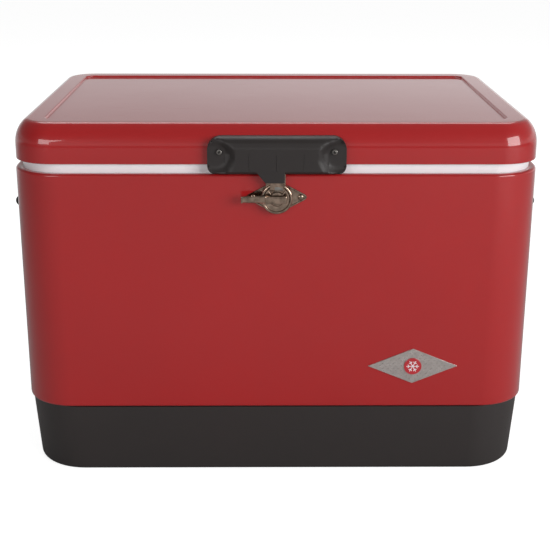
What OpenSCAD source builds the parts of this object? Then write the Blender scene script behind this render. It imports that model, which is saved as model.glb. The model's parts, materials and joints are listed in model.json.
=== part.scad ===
// Insulated chest cooler: a painted steel wrap over a moulded base and liner, with a hinged
// lid, a turn latch, a bail handle on each end and a drain with a screw cap.
// Millimetres, +Z up, the front faces -Y. The origin is on the floor under the chest's middle.

/* [Body] */
// Width of the steel wrap, left to right
body_w = 585; // [570:1:600]
// Depth of the steel wrap, front to back
body_d = 399; // [390:1:410]
// Plan radius of the wrap's corners
body_r = 56; // [52:1:60]
// Height of the wrap's lower edge above the floor
wrap_bottom = 84; // [82:1:90]
// Height of the wrap's upper edge above the floor
wrap_top = 359; // [355:1:365]
// Thickness of the sheet steel
steel_t = 0.8; // [0.6:0.1:1]

/* [Base] */
// Plan radius of the base's corners at its top
base_r = 66; // [62:1:70]
// Lean of the base's wall from upright, in degrees
base_lean = 4.2; // [3:0.1:5]
// Radius along the base's lower edge
base_edge_r = 6; // [4:0.5:8]
// Thickness of the base's wall
base_t = 3.5; // [3:0.5:4]

/* [Liner] */
// Height of the rim that shows between the wrap and the lid
band_h = 10; // [8:0.5:12]
// Distance from the wrap's outside to the rim's outside
band_inset = 8; // [7:0.5:9]
// Thickness of the insulated wall at the top, steel to hollow
wall = 34.5; // [33:0.5:36]
// Height of the hollow's floor above the ground
floor_z = 38; // [36:1:40]
// Plan radius of the hollow's corners at the top
hollow_r = 42; // [38:1:46]
// Radius where the hollow's walls meet its floor
hollow_edge_r = 14; // [12:1:16]
// Lean of the hollow's walls from upright, in degrees
hollow_lean = 1.5; // [1:0.1:2]
// Thickness of the liner's wall
liner_t = 3; // [2.5:0.5:3]

/* [Lid] */
// Width of the lid
lid_w = 580; // [570:1:590]
// Depth of the lid
lid_d = 394; // [388:1:400]
// Plan radius of the lid's corners
lid_r = 45; // [42:1:48]
// Height of the lid shell
lid_h = 43.5; // [42:0.5:45]
// Radius along the lid's top edge
lid_edge_r = 27; // [24:1:28]
// Width of the raised border around the lid's sunken panel
lid_border = 34.5; // [32:0.5:36]
// Depth of the sunken panel
lid_sink = 2.5; // [2:0.1:3]
// How far the plug under the lid reaches into the hollow
plug_depth = 12; // [8:1:14]

/* [Front handle] */
// Width of the moulded handle on the lid's front
handle_w = 150; // [146:1:154]
// Height of the handle's lower edge above the floor
handle_low = 361; // [360.5:0.5:362]
// Height of the handle's upper edge above the floor
handle_high = 401; // [400:0.5:406]
// How far the handle stands out from the lid's front
handle_out = 14; // [13:0.5:15]
// Distance between the handle's two screws
handle_screws_w = 124; // [120:1:128]

/* [Latch] */
// Height of the latch's axis above the floor
latch_z = 334; // [333:0.5:335]
// Radius of the latch's round housing
latch_r = 17.2; // [17:0.1:17.3]
// Length of the latch's plate over its two tips
latch_plate_w = 65; // [62:1:70]
// Length of the lever from the axis to its tip
lever_out = 39; // [36:1:42]
// Height of the lever bar
lever_h = 9; // [8:0.5:10]

/* [Side handles] */
// Height of the side handles' axis above the floor
bail_z = 300; // [290:1:310]
// Drop from the axis to the middle of the grip
bail_drop = 52; // [48:1:56]
// Distance from the wrap to the handle's axis
bail_off = 11; // [11:0.5:12]
// Radius of the bail wire
wire_r = 3; // [2.5:0.5:3]
// Radius of the grip
grip_r = 10; // [9:0.5:10]

/* [Badge] */
// Width of the badge plate
badge_w = 102; // [95:1:110]
// Height of the badge plate
badge_h = 42; // [38:1:46]

/* [Hidden] */
$fn = 96;
eps = 0.01;
// air between pieces that lie face to face
gap = 0.2;
// radial room for a turning pin or shaft
run_gap = 0.05;

front = -body_d / 2;
back = body_d / 2;
side = body_w / 2;
lid_front = -lid_d / 2;
lid_back = lid_d / 2;

deck_z = wrap_top + band_h;
lid_z = deck_z + 0.5;
lid_top = lid_z + lid_h;
panel_z = lid_top - lid_sink;

// corner centres of each rounded plan
body_c = [side - body_r, back - body_r];
base_c = [side - 0.7 - base_r, back - 0.7 - base_r];
lid_c = [lid_w / 2 - lid_r, lid_back - lid_r];
hollow_c = [side - wall - hollow_r, back - wall - hollow_r];

wrap_edge_r = 3;
hem_w = 3;
seam_w = 12;
lap_top = wrap_bottom + 12;
skirt_low = wrap_top - 20;
base_top = wrap_bottom - 0.4;
base_floor_t = 4;

plug_gap = 5;
flange_z = deck_z + 3;
flange_t = 2.5;

badge_at = [156, 135];
badge_t = 1.2;
emblem_r = 10;

hinge_x = 170;
hinge_w = 64;
hinge_t = 1.4;
hinge_knuckle_r = 3.6;
hinge_pin_r = 2;
hinge_mid = 11;
hinge_y = back + hinge_knuckle_r + 0.1;
hinge_z = wrap_top + 5.5;
hinge_body_low = 330;
hinge_lid_high = 385;
hinge_screw_z = 343;
hinge_lid_screw_z = 377.5;
hinge_screw_x = 22;

screw_r = 1.8;
screw_head_r = 3.4;
screw_head_h = 1.6;
handle_screw_r = 2.2;
handle_screw_head_r = 4;
handle_screw_z = 385;
handle_seat = 7;
handle_scoop_r = 14;

rivet_r = 1.9;
rivet_head_r = 3.2;
rivet_head_h = 1.9;

bracket_y = 75;
bracket_w = 18;
bracket_plate = [2.2, 22, 46];
bracket_ear_r = 6.5;
bracket_rivet_z = 16;
bail_arm_y = 58;
bail_top_bend = 6;
bail_low_bend = 10;
grip_len = 88;

drain_y = 100;
drain_z = 64;
drain_tube_r = 9;
drain_bore_r = 6;
drain_face = side - 0.7;
drain_end = drain_face + 13;
drain_flange_r = 16;
drain_pad_r = 17.5;
drain_cap_r = 13.5;
drain_nut_r = 12;
drain_in = side - wall - (deck_z - drain_z) * tan(hollow_lean);

// the latch's layers, as distances in front of the wrap
plate_t = 1.2;
cam_back = 1.7;
cam_front = 3.5;
strike_back = 5.4;
strike_front = 6.9;
pin_end = 7.7;
housing_front = 9.8;
housing_t = 1.2;
lever_back = 10.2;
lever_front = 15.8;
shaft_r = 4;
pivot_r = 2;
pivot_head_r = 4;
crank = 10.5;
crank_pin_r = 1.6;
latch_rivet_x = 26;
strike_x = [-12, 9.5];
strike_low = latch_z + 5.8;
strike_high = 392;
mouth_w = 22;
tab_low = latch_z + latch_r + 0.4;

// ---- shapes that repeat ----

// Sweeps a section around a rectangle: straight runs joined by turned corners.
// The section's x is the distance out from the corner centres c, its y is height.
module around(c) {
    for (turn = [0:3]) {
        out = turn % 2 == 0 ? c[0] : c[1];
        run = turn % 2 == 0 ? c[1] : c[0];
        rotate([0, 0, 90 * turn]) {
            translate([out, 0, 0])
                rotate([90, 0, 0])
                    linear_extrude(2 * run, center = true)
                        children();
            translate([out, run, 0])
                rotate_extrude(angle = 90)
                    children();
        }
    }
}

// The block inside the corner centres c, from height low to high.
module core(c, low, high) {
    translate([-c[0], -c[1], low])
        cube([2 * c[0], 2 * c[1], high - low]);
}

// A block with an upright wall and rounded corners, r out from the corner centres c.
module slab(c, r, low, high) {
    translate([0, 0, low])
        linear_extrude(high - low) {
            square([2 * (c[0] + r), 2 * c[1]], center = true);
            square([2 * c[0], 2 * (c[1] + r)], center = true);
            for (x = [-1, 1], y = [-1, 1])
                translate([x * c[0], y * c[1]])
                    circle(r);
        }
}

// Section of a tray: a wall that leans in towards a floor with a rounded edge.
module tray_section(top_r, top, low, edge_r, lean) {
    foot = top_r - (top - low) * tan(lean);
    arc_x = foot + edge_r * tan(lean) - edge_r / cos(lean);
    polygon([
        [0, low],
        [arc_x, low],
        [arc_x + edge_r * cos(lean), low + edge_r * (1 - sin(lean))],
        [top_r, top],
        [0, top]
    ]);
    translate([arc_x, low + edge_r])
        circle(edge_r);
}

module tray(c, top_r, top, low, edge_r, lean) {
    around(c)
        tray_section(top_r, top, low, edge_r, lean);
    core(c, low, top);
}

// A box whose outer edge is rounded with r at the top and at the bottom.
module rounded_edge(x0, x1, z0, z1, r) {
    translate([x0, z0 + r])
        square([x1 - x0, z1 - z0 - 2 * r]);
    translate([x0, z0])
        square([x1 - x0 - r, z1 - z0]);
    for (z = [z0 + r, z1 - r])
        translate([x1 - r, z])
            circle(r);
}

// A round bar along +Y whose near end is at y.
module bar_y(r, y, len) {
    translate([0, y, 0])
        rotate([-90, 0, 0])
            cylinder(r = r, h = len);
}

// A round bar along +X whose near end is at x.
module bar_x(r, x, len) {
    translate([x, 0, 0])
        rotate([0, 90, 0])
            cylinder(r = r, h = len);
}

// A screw or rivet along +Z with a chamfered head; z = 0 is under the head.
module fastener(r, len, head_r, head_h) {
    translate([0, 0, -len])
        cylinder(r = r, h = len + eps);
    cylinder(r = head_r, h = head_h * 0.4);
    translate([0, 0, head_h * 0.4])
        cylinder(r1 = head_r, r2 = head_r * 0.55, h = head_h * 0.6);
}

// ---- places of the fasteners, used for the fastener and for its hole ----

module at_bracket_rivets() {
    for (x = [-1, 1], y = [-1, 1], z = [-1, 1])
        translate([x * (side + 0.1 + bracket_plate[0]), y * bracket_y, bail_z + z * bracket_rivet_z])
            rotate([0, 90 * x, 0])
                children();
}

module at_hinge_body_screws() {
    for (x = [-hinge_x, hinge_x], dx = [-hinge_screw_x, 0, hinge_screw_x])
        translate([x + dx, back + 0.1 + hinge_t, hinge_screw_z])
            rotate([-90, 0, 0])
                children();
}

module at_hinge_lid_screws() {
    for (x = [-hinge_x, hinge_x], dx = [-hinge_screw_x, hinge_screw_x])
        translate([x + dx, lid_back + 0.1 + hinge_t, hinge_lid_screw_z])
            rotate([-90, 0, 0])
                children();
}

module at_latch_rivets() {
    for (x = [-latch_rivet_x, latch_rivet_x])
        translate([x, front - 0.1 - plate_t, latch_z])
            rotate([90, 0, 0])
                children();
}

module at_handle_screws() {
    for (x = [-handle_screws_w / 2, handle_screws_w / 2])
        translate([x, lid_front - handle_seat, handle_screw_z])
            rotate([90, 0, 0])
                children();
}

module at_drain() {
    translate([0, drain_y, drain_z])
        children();
}

module at_latch_axis() {
    translate([0, 0, latch_z])
        children();
}

module shank_hole(r, len) {
    translate([0, 0, -len])
        cylinder(r = r, h = len + 1);
}

module body_holes() {
    at_bracket_rivets()
        shank_hole(rivet_r + 0.1, 16);
    at_hinge_body_screws()
        shank_hole(screw_r + 0.1, 16);
    at_latch_rivets()
        shank_hole(rivet_r + 0.1, 10);
    at_latch_axis()
        bar_y(pivot_r + 0.1, front - 3, 10);
}

// ---- body ----

module base_tub() {
    color("#2f2b2a")
        difference() {
            union() {
                tray(base_c, base_r, base_top, 0, base_edge_r, base_lean);
                slab(base_c, base_r - 2.6, base_top - eps, lap_top);
                at_drain()
                    bar_x(drain_pad_r, drain_face - 10, 10);
            }
            tray(base_c, base_r - 2.6 - base_t, lap_top + eps, base_floor_t,
                base_edge_r - base_t, base_lean);
            at_drain()
                bar_x(drain_tube_r + 0.1, side - 40, 60);
        }
}

module steel_wrap() {
    color("#a81d22")
        difference() {
            union() {
                around(body_c)
                    wrap_section();
                // lock seam where the sheet's two ends meet
                translate([-seam_w / 2, back - eps, wrap_bottom + 6])
                    cube([seam_w, 0.9, wrap_top - wrap_bottom - 12]);
            }
            body_holes();
        }
}

// The sheet's section: folded in to the rim at the top, hemmed in at the bottom.
module wrap_section() {
    ledge = body_r - band_inset + 0.3;
    difference() {
        rounded_edge(ledge, body_r, wrap_bottom, wrap_top, wrap_edge_r);
        rounded_edge(ledge - 5, body_r - steel_t, wrap_bottom + steel_t, wrap_top - steel_t,
            wrap_edge_r - steel_t);
        translate([ledge - 1, wrap_bottom - 1])
            square([band_inset - hem_w + 0.7, 4]);
    }
}

module liner() {
    band_r = body_r - band_inset;
    color("#f1eef1")
        difference() {
            union() {
                around(body_c)
                    translate([0, skirt_low])
                        intersection() {
                            rounded_edge(band_r - liner_t, band_r, -5, deck_z - skirt_low, liner_t / 2);
                            square([body_r, deck_z - skirt_low]);
                        }
                slab(body_c, band_r - liner_t / 2, deck_z - liner_t, deck_z);
                tray(hollow_c, hollow_r + liner_t, deck_z - liner_t + eps, floor_z - liner_t,
                    hollow_edge_r + liner_t, hollow_lean);
            }
            tray(hollow_c, hollow_r, deck_z + eps, floor_z, hollow_edge_r, hollow_lean);
            at_drain()
                bar_x(drain_tube_r + 0.1, drain_in - 20, 40);
            at_hinge_body_screws()
                shank_hole(screw_r + 0.1, 16);
        }
}

module body_foam() {
    outer = body_r - steel_t - gap;
    inner = body_r - band_inset - liner_t - gap;
    color("#d9d2a8")
        difference() {
            union() {
                slab(body_c, outer, lap_top + gap, skirt_low - gap);
                slab(body_c, inner, skirt_low - gap - eps, deck_z - liner_t - gap);
                tray(base_c, base_r - 2.6 - base_t - gap, lap_top + gap + eps, base_floor_t + gap,
                    base_edge_r - base_t - gap, base_lean);
            }
            tray(hollow_c, hollow_r + liner_t + gap, deck_z + 1, floor_z - liner_t - gap,
                hollow_edge_r + liner_t + gap, hollow_lean);
            body_holes();
            at_latch_axis()
                bar_y(pivot_head_r + gap, front, 3);
            at_drain()
                bar_x(drain_tube_r + 0.1, drain_in - 20, 80);
        }
}

// ---- badge ----

module badge_plate() {
    color("#c3c1bd")
        translate([badge_at[0], front - 0.1, badge_at[1]])
            rotate([90, 0, 0])
                linear_extrude(badge_t)
                    polygon([
                        [-badge_w / 2, 0], [0, -badge_h / 2], [badge_w / 2, 0], [0, badge_h / 2]
                    ]);
}

module badge_emblem() {
    color("#b3202a")
        translate([badge_at[0], front - 0.1 - badge_t - 0.05, badge_at[1]])
            rotate([90, 0, 0])
                cylinder(r = emblem_r, h = 0.9);
}

// ---- latch ----

module latch_plate() {
    color("#b9b2a6")
        difference() {
            translate([0, front - 0.1, latch_z])
                rotate([90, 0, 0]) {
                    cylinder(r = latch_r, h = plate_t);
                    linear_extrude(plate_t)
                        latch_plate_outline(3.5);
                }
            body_holes();
        }
}

// Two straight-sided wings with rounded tips, crossing under the round middle.
module latch_plate_outline(tip_r) {
    tip_x = latch_plate_w / 2 - tip_r;
    // direction of the edge from the round middle to the tip
    edge = acos((latch_r - tip_r) / tip_x);
    mid = [(latch_r - 0.2) * cos(edge), (latch_r - 0.2) * sin(edge)];
    end = [tip_x + (tip_r - 0.1) * cos(edge), (tip_r - 0.1) * sin(edge)];
    polygon([
        mid, end, [end[0], -end[1]], [mid[0], -mid[1]],
        [-mid[0], -mid[1]], [-end[0], -end[1]], [-end[0], end[1]], [-mid[0], mid[1]]
    ]);
    for (x = [-tip_x, tip_x])
        translate([x, 0])
            circle(tip_r);
}

module latch_housing() {
    y0 = front - 0.1 - plate_t;
    y1 = front - housing_front;
    color("#c2bbb0")
        difference() {
            translate([0, y0, latch_z])
                rotate([90, 0, 0])
                    cylinder(r = latch_r, h = y0 - y1);
            translate([0, y0 + 1, latch_z])
                rotate([90, 0, 0])
                    cylinder(r = latch_r - housing_t, h = y0 - y1 + 1 - housing_t);
            at_latch_axis()
                bar_y(shaft_r + 0.3, y1 - 1, 6);
            // mouth that the strike drops into
            translate([-mouth_w / 2 - 2, front - strike_front - 1.4, latch_z + 9])
                cube([mouth_w + 2, strike_front - strike_back + 2.6, latch_r]);
            // window in the front wall, under the mouth
            translate([0, y1 + housing_t + 1, latch_z])
                rotate([90, 0, 0])
                    linear_extrude(housing_t + 2)
                        polygon([
                            [-mouth_w / 2 + 3, 8], [mouth_w / 2 - 3, 8],
                            [mouth_w / 2 - 1, latch_r + 1], [-mouth_w / 2 + 1, latch_r + 1]
                        ]);
        }
}

module latch_rivets() {
    color("#cfc8bd")
        at_latch_rivets()
            fastener(rivet_r, 5, rivet_head_r, rivet_head_h);
}

module latch_pivot() {
    color("#8f8a83")
        at_latch_axis() {
            bar_y(pivot_r, front - lever_back, lever_back + 3);
            bar_y(pivot_head_r, front + 1, 1.5);
        }
}

module latch_lever() {
    color("#b5aea2")
        at_latch_axis()
            difference() {
                union() {
                    bar_y(shaft_r, front - lever_back - 1, lever_back + 1 - cam_back);
                    translate([-lever_out, front - lever_front, -lever_h / 2])
                        cube([lever_out + 11, lever_front - lever_back, lever_h]);
                    bar_y(8, front - lever_back - 2.5, 2.5);
                }
                bar_y(pivot_r + run_gap, front - lever_back - 0.3, lever_back);
                // the thin outer half that the thumb turns
                translate([-lever_out - 1, front - lever_front - 1, -lever_h])
                    cube([lever_out - 12, 3, 2 * lever_h]);
            }
}

module latch_cam() {
    color("#8f8a83")
        at_latch_axis() {
            difference() {
                bar_y(crank + crank_pin_r + 0.4, front - cam_front, cam_front - cam_back);
                bar_y(shaft_r, front - cam_front - 1, 6);
            }
            translate([crank, 0, 0])
                bar_y(crank_pin_r, front - pin_end, pin_end - cam_front + eps);
        }
}

// ---- hinges ----

module hinge_body_leaf(x) {
    y0 = back + 0.1;
    color("#b4b3b0")
        translate([x, 0, 0])
            difference() {
                union() {
                    translate([-hinge_w / 2, y0, hinge_body_low])
                        cube([hinge_w, hinge_t, hinge_z - 1 - hinge_body_low]);
                    for (s = [-1, 1])
                        translate([0, hinge_y, hinge_z])
                            bar_x(hinge_knuckle_r, s > 0 ? hinge_mid + 0.3 : -hinge_w / 2,
                                hinge_w / 2 - hinge_mid - 0.3);
                }
                translate([-hinge_mid - 0.3, y0 - 1, hinge_z - hinge_knuckle_r - 0.8])
                    cube([2 * hinge_mid + 0.6, 12, 12]);
                translate([0, hinge_y, hinge_z])
                    bar_x(hinge_pin_r, -hinge_w, 2 * hinge_w);
                translate([-x, 0, 0])
                    at_hinge_body_screws()
                        shank_hole(screw_r + 0.1, 8);
            }
}

module hinge_lid_leaf(x) {
    y0 = lid_back + 0.1;
    color("#b4b3b0")
        translate([x, 0, 0])
            difference() {
                union() {
                    translate([-hinge_w / 2, y0, lid_z + 0.6])
                        cube([hinge_w, hinge_t, hinge_lid_high - lid_z - 0.6]);
                    translate([-hinge_mid, y0, hinge_z + 1.2])
                        cube([2 * hinge_mid, hinge_t, lid_z - hinge_z]);
                    translate([-hinge_mid, y0, hinge_z + 1.2])
                        cube([2 * hinge_mid, hinge_y - y0, 2]);
                    translate([0, hinge_y, hinge_z])
                        bar_x(hinge_knuckle_r, -hinge_mid, 2 * hinge_mid);
                }
                translate([0, hinge_y, hinge_z])
                    bar_x(hinge_pin_r + run_gap, -hinge_w, 2 * hinge_w);
                translate([-x, 0, 0])
                    at_hinge_lid_screws()
                        shank_hole(screw_r + 0.1, 8);
            }
}

module hinge_pins() {
    color("#8f8e8b")
        for (x = [-hinge_x, hinge_x])
            translate([x, hinge_y, hinge_z]) {
                bar_x(hinge_pin_r, -hinge_w / 2 - 0.5, hinge_w + 1);
                for (s = [-1, 1])
                    bar_x(hinge_pin_r + 0.9, s > 0 ? hinge_w / 2 + 0.1 : -hinge_w / 2 - 1.3, 1.2);
            }
}

module hinge_body_screws() {
    color("#c9c8c4")
        at_hinge_body_screws()
            fastener(screw_r, 14, screw_head_r, screw_head_h);
}

module hinge_lid_screws() {
    color("#c9c8c4")
        at_hinge_lid_screws()
            fastener(screw_r, 14, screw_head_r, screw_head_h);
}

// ---- lid ----

// The lid's outside section with its sunken panel, drawn inset by t.
module lid_section(t) {
    r = lid_edge_r - t;
    top = lid_top - t;
    panel_r = lid_r - lid_border + t;
    step_r = lid_sink / 2;
    difference() {
        union() {
            translate([0, lid_z])
                square([lid_r - t, top - r - lid_z]);
            translate([0, lid_z])
                square([lid_r - t - r, top - lid_z]);
            intersection() {
                translate([lid_r - t - r, top - r])
                    circle(r);
                translate([0, lid_z])
                    square([lid_r, lid_h]);
            }
        }
        translate([-1, panel_z - t])
            square([panel_r + 1, lid_sink + 5]);
        // rounds the step's upper corner
        translate([panel_r, panel_z - t + step_r])
            difference() {
                translate([-eps, 0])
                    square([step_r + eps, step_r + eps]);
                translate([step_r, 0])
                    circle(step_r);
            }
    }
    // rounds the step's lower corner
    difference() {
        translate([panel_r - step_r, panel_z - t - eps])
            square([step_r + eps, step_r + eps]);
        translate([panel_r - step_r, panel_z - t + step_r])
            circle(step_r);
    }
}

module lid_holes() {
    at_hinge_lid_screws()
        shank_hole(screw_r + 0.1, 16);
    at_handle_screws()
        shank_hole(handle_screw_r + 0.1, 22);
}

module lid_shell() {
    color("#a81d22")
        difference() {
            union() {
                around(lid_c) {
                    difference() {
                        lid_section(0);
                        difference() {
                            lid_section(steel_t);
                            translate([0, lid_top])
                                square([lid_r, 1]);
                        }
                    }
                    translate([lid_r - 4, lid_z])
                        square([4 - eps, steel_t]);
                }
                core(lid_c, panel_z - steel_t, panel_z);
            }
            lid_holes();
        }
}

module lid_liner() {
    plug_r = hollow_r - plug_gap;
    color("#f1eef1")
        difference() {
            union() {
                slab(lid_c, lid_r - steel_t - gap, flange_z, flange_z + flange_t);
                slab(hollow_c, plug_r, deck_z - plug_depth, flange_z + flange_t);
            }
            slab(hollow_c, plug_r - liner_t, deck_z - plug_depth + liner_t, flange_z + 5);
        }
}

module lid_foam() {
    low = flange_z + flange_t + gap;
    plug_r = hollow_r - plug_gap - liner_t - gap;
    color("#d9d2a8")
        difference() {
            union() {
                around(lid_c)
                    intersection() {
                        lid_section(steel_t + gap);
                        translate([0, low])
                            square([lid_r, lid_h]);
                    }
                core(lid_c, low, panel_z - steel_t - gap);
                slab(hollow_c, plug_r, deck_z - plug_depth + liner_t + gap, low + 1);
            }
            lid_holes();
        }
}

module lid_gasket() {
    color("#cfcfd2")
        difference() {
            slab(hollow_c, hollow_r + 8, deck_z + 0.2, flange_z - 0.1);
            slab(hollow_c, hollow_r + 2, deck_z - 1, flange_z + 1);
        }
}

// ---- front handle ----

module lid_handle() {
    top_r = 11;
    lip_r = 3;
    wall_t = 3.2;
    high_r = 14;
    low_r = 9;
    out = lid_front - handle_out;
    color("#2b2727")
        difference() {
            union() {
                intersection() {
                    // side outline, drawn with x outward from the lid's front
                    translate([-handle_w / 2, lid_front, 0])
                        rotate([90, 0, 90])
                            mirror([1, 0])
                                linear_extrude(handle_w)
                                    handle_outline(top_r, lip_r);
                    // front outline
                    translate([0, lid_front + 30, 0])
                        rotate([90, 0, 0])
                            linear_extrude(60)
                                handle_front(high_r, low_r);
                }
                // tab in front of the strike
                translate([0, out + wall_t, 0])
                    rotate([90, 0, 0])
                        linear_extrude(wall_t)
                            polygon([
                                [-24, handle_low + 4], [-13, tab_low], [8.5, tab_low],
                                [8.5, handle_low + 4]
                            ]);
            }
            // room for the lid's own front, and for the rim under it
            around(lid_c)
                handle_room();
            // finger hollows on either side of the middle block
            for (x = [-56, 16])
                translate([x, out + wall_t, handle_low - 5])
                    cube([40, 40, 30]);
            // slot for the strike
            translate([strike_x[0] - gap, front - strike_front - gap, handle_low - 15])
                cube([strike_x[1] - strike_x[0] + 2 * gap, strike_front - strike_back + 2 * gap,
                    strike_high - handle_low + 15 + gap]);
            // the middle block stops above the rim and the latch
            translate([-20, front - strike_front - gap + eps, handle_low - 15])
                cube([40, 20, 24]);
            // seats for the screws
            at_handle_screws()
                cylinder(r = handle_scoop_r, h = 20);
            at_handle_screws()
                shank_hole(handle_screw_r + 0.1, 22);
        }
}

module handle_outline(top_r, lip_r) {
    translate([-30, handle_low])
        square([30 + handle_out - top_r, handle_high - handle_low]);
    translate([0, handle_low + lip_r])
        square([handle_out, handle_high - handle_low - lip_r - top_r]);
    translate([handle_out - top_r, handle_high - top_r])
        circle(top_r);
    translate([0, handle_low])
        square([handle_out - lip_r, lip_r * 2]);
    translate([handle_out - lip_r, handle_low + lip_r])
        circle(lip_r);
}

module handle_front(high_r, low_r) {
    half = handle_w / 2;
    translate([-half, handle_low + low_r])
        square([handle_w, handle_high - handle_low - low_r - high_r]);
    translate([-half + high_r, handle_low + low_r])
        square([handle_w - 2 * high_r, handle_high - handle_low - low_r]);
    translate([-half + low_r, handle_low])
        square([handle_w - 2 * low_r, low_r * 2]);
    for (s = [-1, 1]) {
        translate([s * (half - high_r), handle_high - high_r])
            circle(high_r);
        translate([s * (half - low_r), handle_low + low_r])
            circle(low_r);
    }
}

// The lid's outside and the space under it, a little enlarged, for around(lid_c).
module handle_room() {
    room = 0.15;
    flat_top = lid_top - lid_edge_r;
    translate([0, tab_low - 1])
        square([lid_r + room, flat_top - tab_low + 1]);
    translate([0, flat_top - eps])
        square([lid_r - lid_edge_r, lid_edge_r + 5]);
    intersection() {
        translate([lid_r - lid_edge_r, flat_top])
            circle(lid_edge_r + room);
        translate([0, flat_top - 1])
            square([lid_r + 5, lid_h]);
    }
}

module handle_screws() {
    color("#3a3636")
        at_handle_screws()
            fastener(handle_screw_r, 20, handle_screw_head_r, 2);
}

module strike_plate() {
    y0 = front - strike_front;
    color("#c2bbb0")
        difference() {
            translate([strike_x[0], y0, strike_low])
                cube([strike_x[1] - strike_x[0], strike_front - strike_back,
                    strike_high - strike_low]);
            // hook slot that the cam's pin swings into
            at_latch_axis()
                difference() {
                    bar_y(crank + crank_pin_r + 0.5, y0 - 1, 4);
                    bar_y(crank - crank_pin_r - 0.5, y0 - 2, 6);
                    translate([-60 - 2.4, y0 - 3, -40])
                        cube([60, 8, 80]);
                }
        }
}

// ---- side handles ----

module bail_brackets(s) {
    x0 = side + 0.1;
    color("#2b2727")
        for (y = [-bracket_y, bracket_y])
            mirror([s < 0 ? 1 : 0, 0, 0])
                difference() {
                    union() {
                        translate([x0, y - bracket_plate[1] / 2, bail_z - bracket_plate[2] / 2])
                            cube(bracket_plate);
                        translate([x0, y - bracket_w / 2, bail_z - bracket_ear_r + 1])
                            cube([bail_off, bracket_w, 2 * bracket_ear_r - 2]);
                        translate([side + bail_off, 0, bail_z])
                            bar_y(bracket_ear_r, y - bracket_w / 2, bracket_w);
                    }
                    translate([side + bail_off, 0, bail_z])
                        bar_y(wire_r + run_gap, y - bracket_w, 2 * bracket_w);
                    at_bracket_rivets()
                        shank_hole(rivet_r + 0.1, 8);
                }
}

module bracket_rivets() {
    color("#c9c8c4")
        at_bracket_rivets()
            fastener(rivet_r, 14, rivet_head_r, rivet_head_h);
}

module bail(s) {
    color("#b4b3b0")
        translate([s * (side + bail_off), 0, bail_z])
            for (m = [0, 1])
                mirror([0, m, 0])
                    half_bail();
}

// Half of the bail: a stub in the bracket, a bend, the arm, a bend and half the crossbar.
module half_bail() {
    bar_y(wire_r, bail_arm_y + bail_top_bend,
        bracket_y + bracket_w / 2 - 1 - bail_arm_y - bail_top_bend);
    translate([0, bail_arm_y + bail_top_bend, -bail_top_bend])
        rotate([0, 90, 0])
            rotate([0, 0, 180])
                rotate_extrude(angle = 90)
                    translate([bail_top_bend, 0])
                        circle(wire_r);
    translate([0, bail_arm_y, -bail_drop + bail_low_bend])
        cylinder(r = wire_r, h = bail_drop - bail_low_bend - bail_top_bend);
    translate([0, bail_arm_y - bail_low_bend, -bail_drop + bail_low_bend])
        rotate([0, 90, 0])
            rotate_extrude(angle = 90)
                translate([bail_low_bend, 0])
                    circle(wire_r);
    translate([0, 0, -bail_drop])
        bar_y(wire_r, 0, bail_arm_y - bail_low_bend);
}

module bail_grip(s) {
    color("#2b2727")
        translate([s * (side + bail_off), 0, bail_z - bail_drop])
            difference() {
                union() {
                    bar_y(grip_r, -grip_len / 2 + 3, grip_len - 6);
                    bar_y(grip_r - 1.5, -grip_len / 2, grip_len);
                }
                bar_y(wire_r, -grip_len, 2 * grip_len);
            }
}

// ---- drain ----

module drain_spout() {
    color("#2b2727")
        at_drain()
            difference() {
                union() {
                    bar_x(drain_tube_r, drain_in - 6, drain_end - drain_in + 6);
                    bar_x(drain_flange_r, drain_face + 0.1, 2.4);
                }
                bar_x(drain_bore_r, drain_in - 20, 100);
            }
}

module drain_gasket() {
    color("#1c1b1b")
        at_drain()
            difference() {
                bar_x(drain_nut_r - 0.5, drain_in - 2.2, 1.6);
                bar_x(drain_tube_r + 0.1, drain_in - 20, 40);
            }
}

module drain_nut() {
    color("#e8e5e8")
        at_drain()
            difference() {
                rotate([30, 0, 0])
                    translate([drain_in - 5.8, 0, 0])
                        rotate([0, 90, 0])
                            cylinder(r = drain_nut_r + 1, h = 3.5, $fn = 6);
                bar_x(drain_tube_r, drain_in - 20, 40);
            }
}

module drain_cap() {
    low = drain_face + 2.8;
    color("#2b2727")
        at_drain()
            difference() {
                bar_x(drain_cap_r, low, drain_end + 4.2 - low);
                bar_x(drain_tube_r + 0.4, low - 1, drain_end + 1.9 - low + 1);
                for (a = [0:20:340])
                    rotate([a, 0, 0])
                        translate([0, 0, drain_cap_r + 0.6])
                            bar_x(1.6, low - 1, 30);
            }
}

module drain_washer() {
    color("#1c1b1b")
        at_drain()
            bar_x(drain_tube_r, drain_end + 0.1, 1.6);
}

base_tub();
steel_wrap();
liner();
body_foam();
badge_plate();
badge_emblem();
latch_plate();
latch_housing();
latch_rivets();
latch_pivot();
latch_lever();
latch_cam();
hinge_body_leaf(-hinge_x);  // hinge_body_leaf_left
hinge_body_leaf(hinge_x);  // hinge_body_leaf_right
hinge_lid_leaf(-hinge_x);  // hinge_lid_leaf_left
hinge_lid_leaf(hinge_x);  // hinge_lid_leaf_right
hinge_pins();
hinge_body_screws();
hinge_lid_screws();
lid_shell();
lid_liner();
lid_foam();
lid_gasket();
lid_handle();
handle_screws();
strike_plate();
bail_brackets(-1);  // bail_brackets_left
bail_brackets(1);  // bail_brackets_right
bracket_rivets();
bail(-1);  // bail_left
bail(1);  // bail_right
bail_grip(-1);  // bail_grip_left
bail_grip(1);  // bail_grip_right
drain_spout();
drain_gasket();
drain_nut();
drain_cap();
drain_washer();
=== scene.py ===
import json
import math
from collections import namedtuple

import bmesh
import bpy
from mathutils import Matrix, Vector


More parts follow.
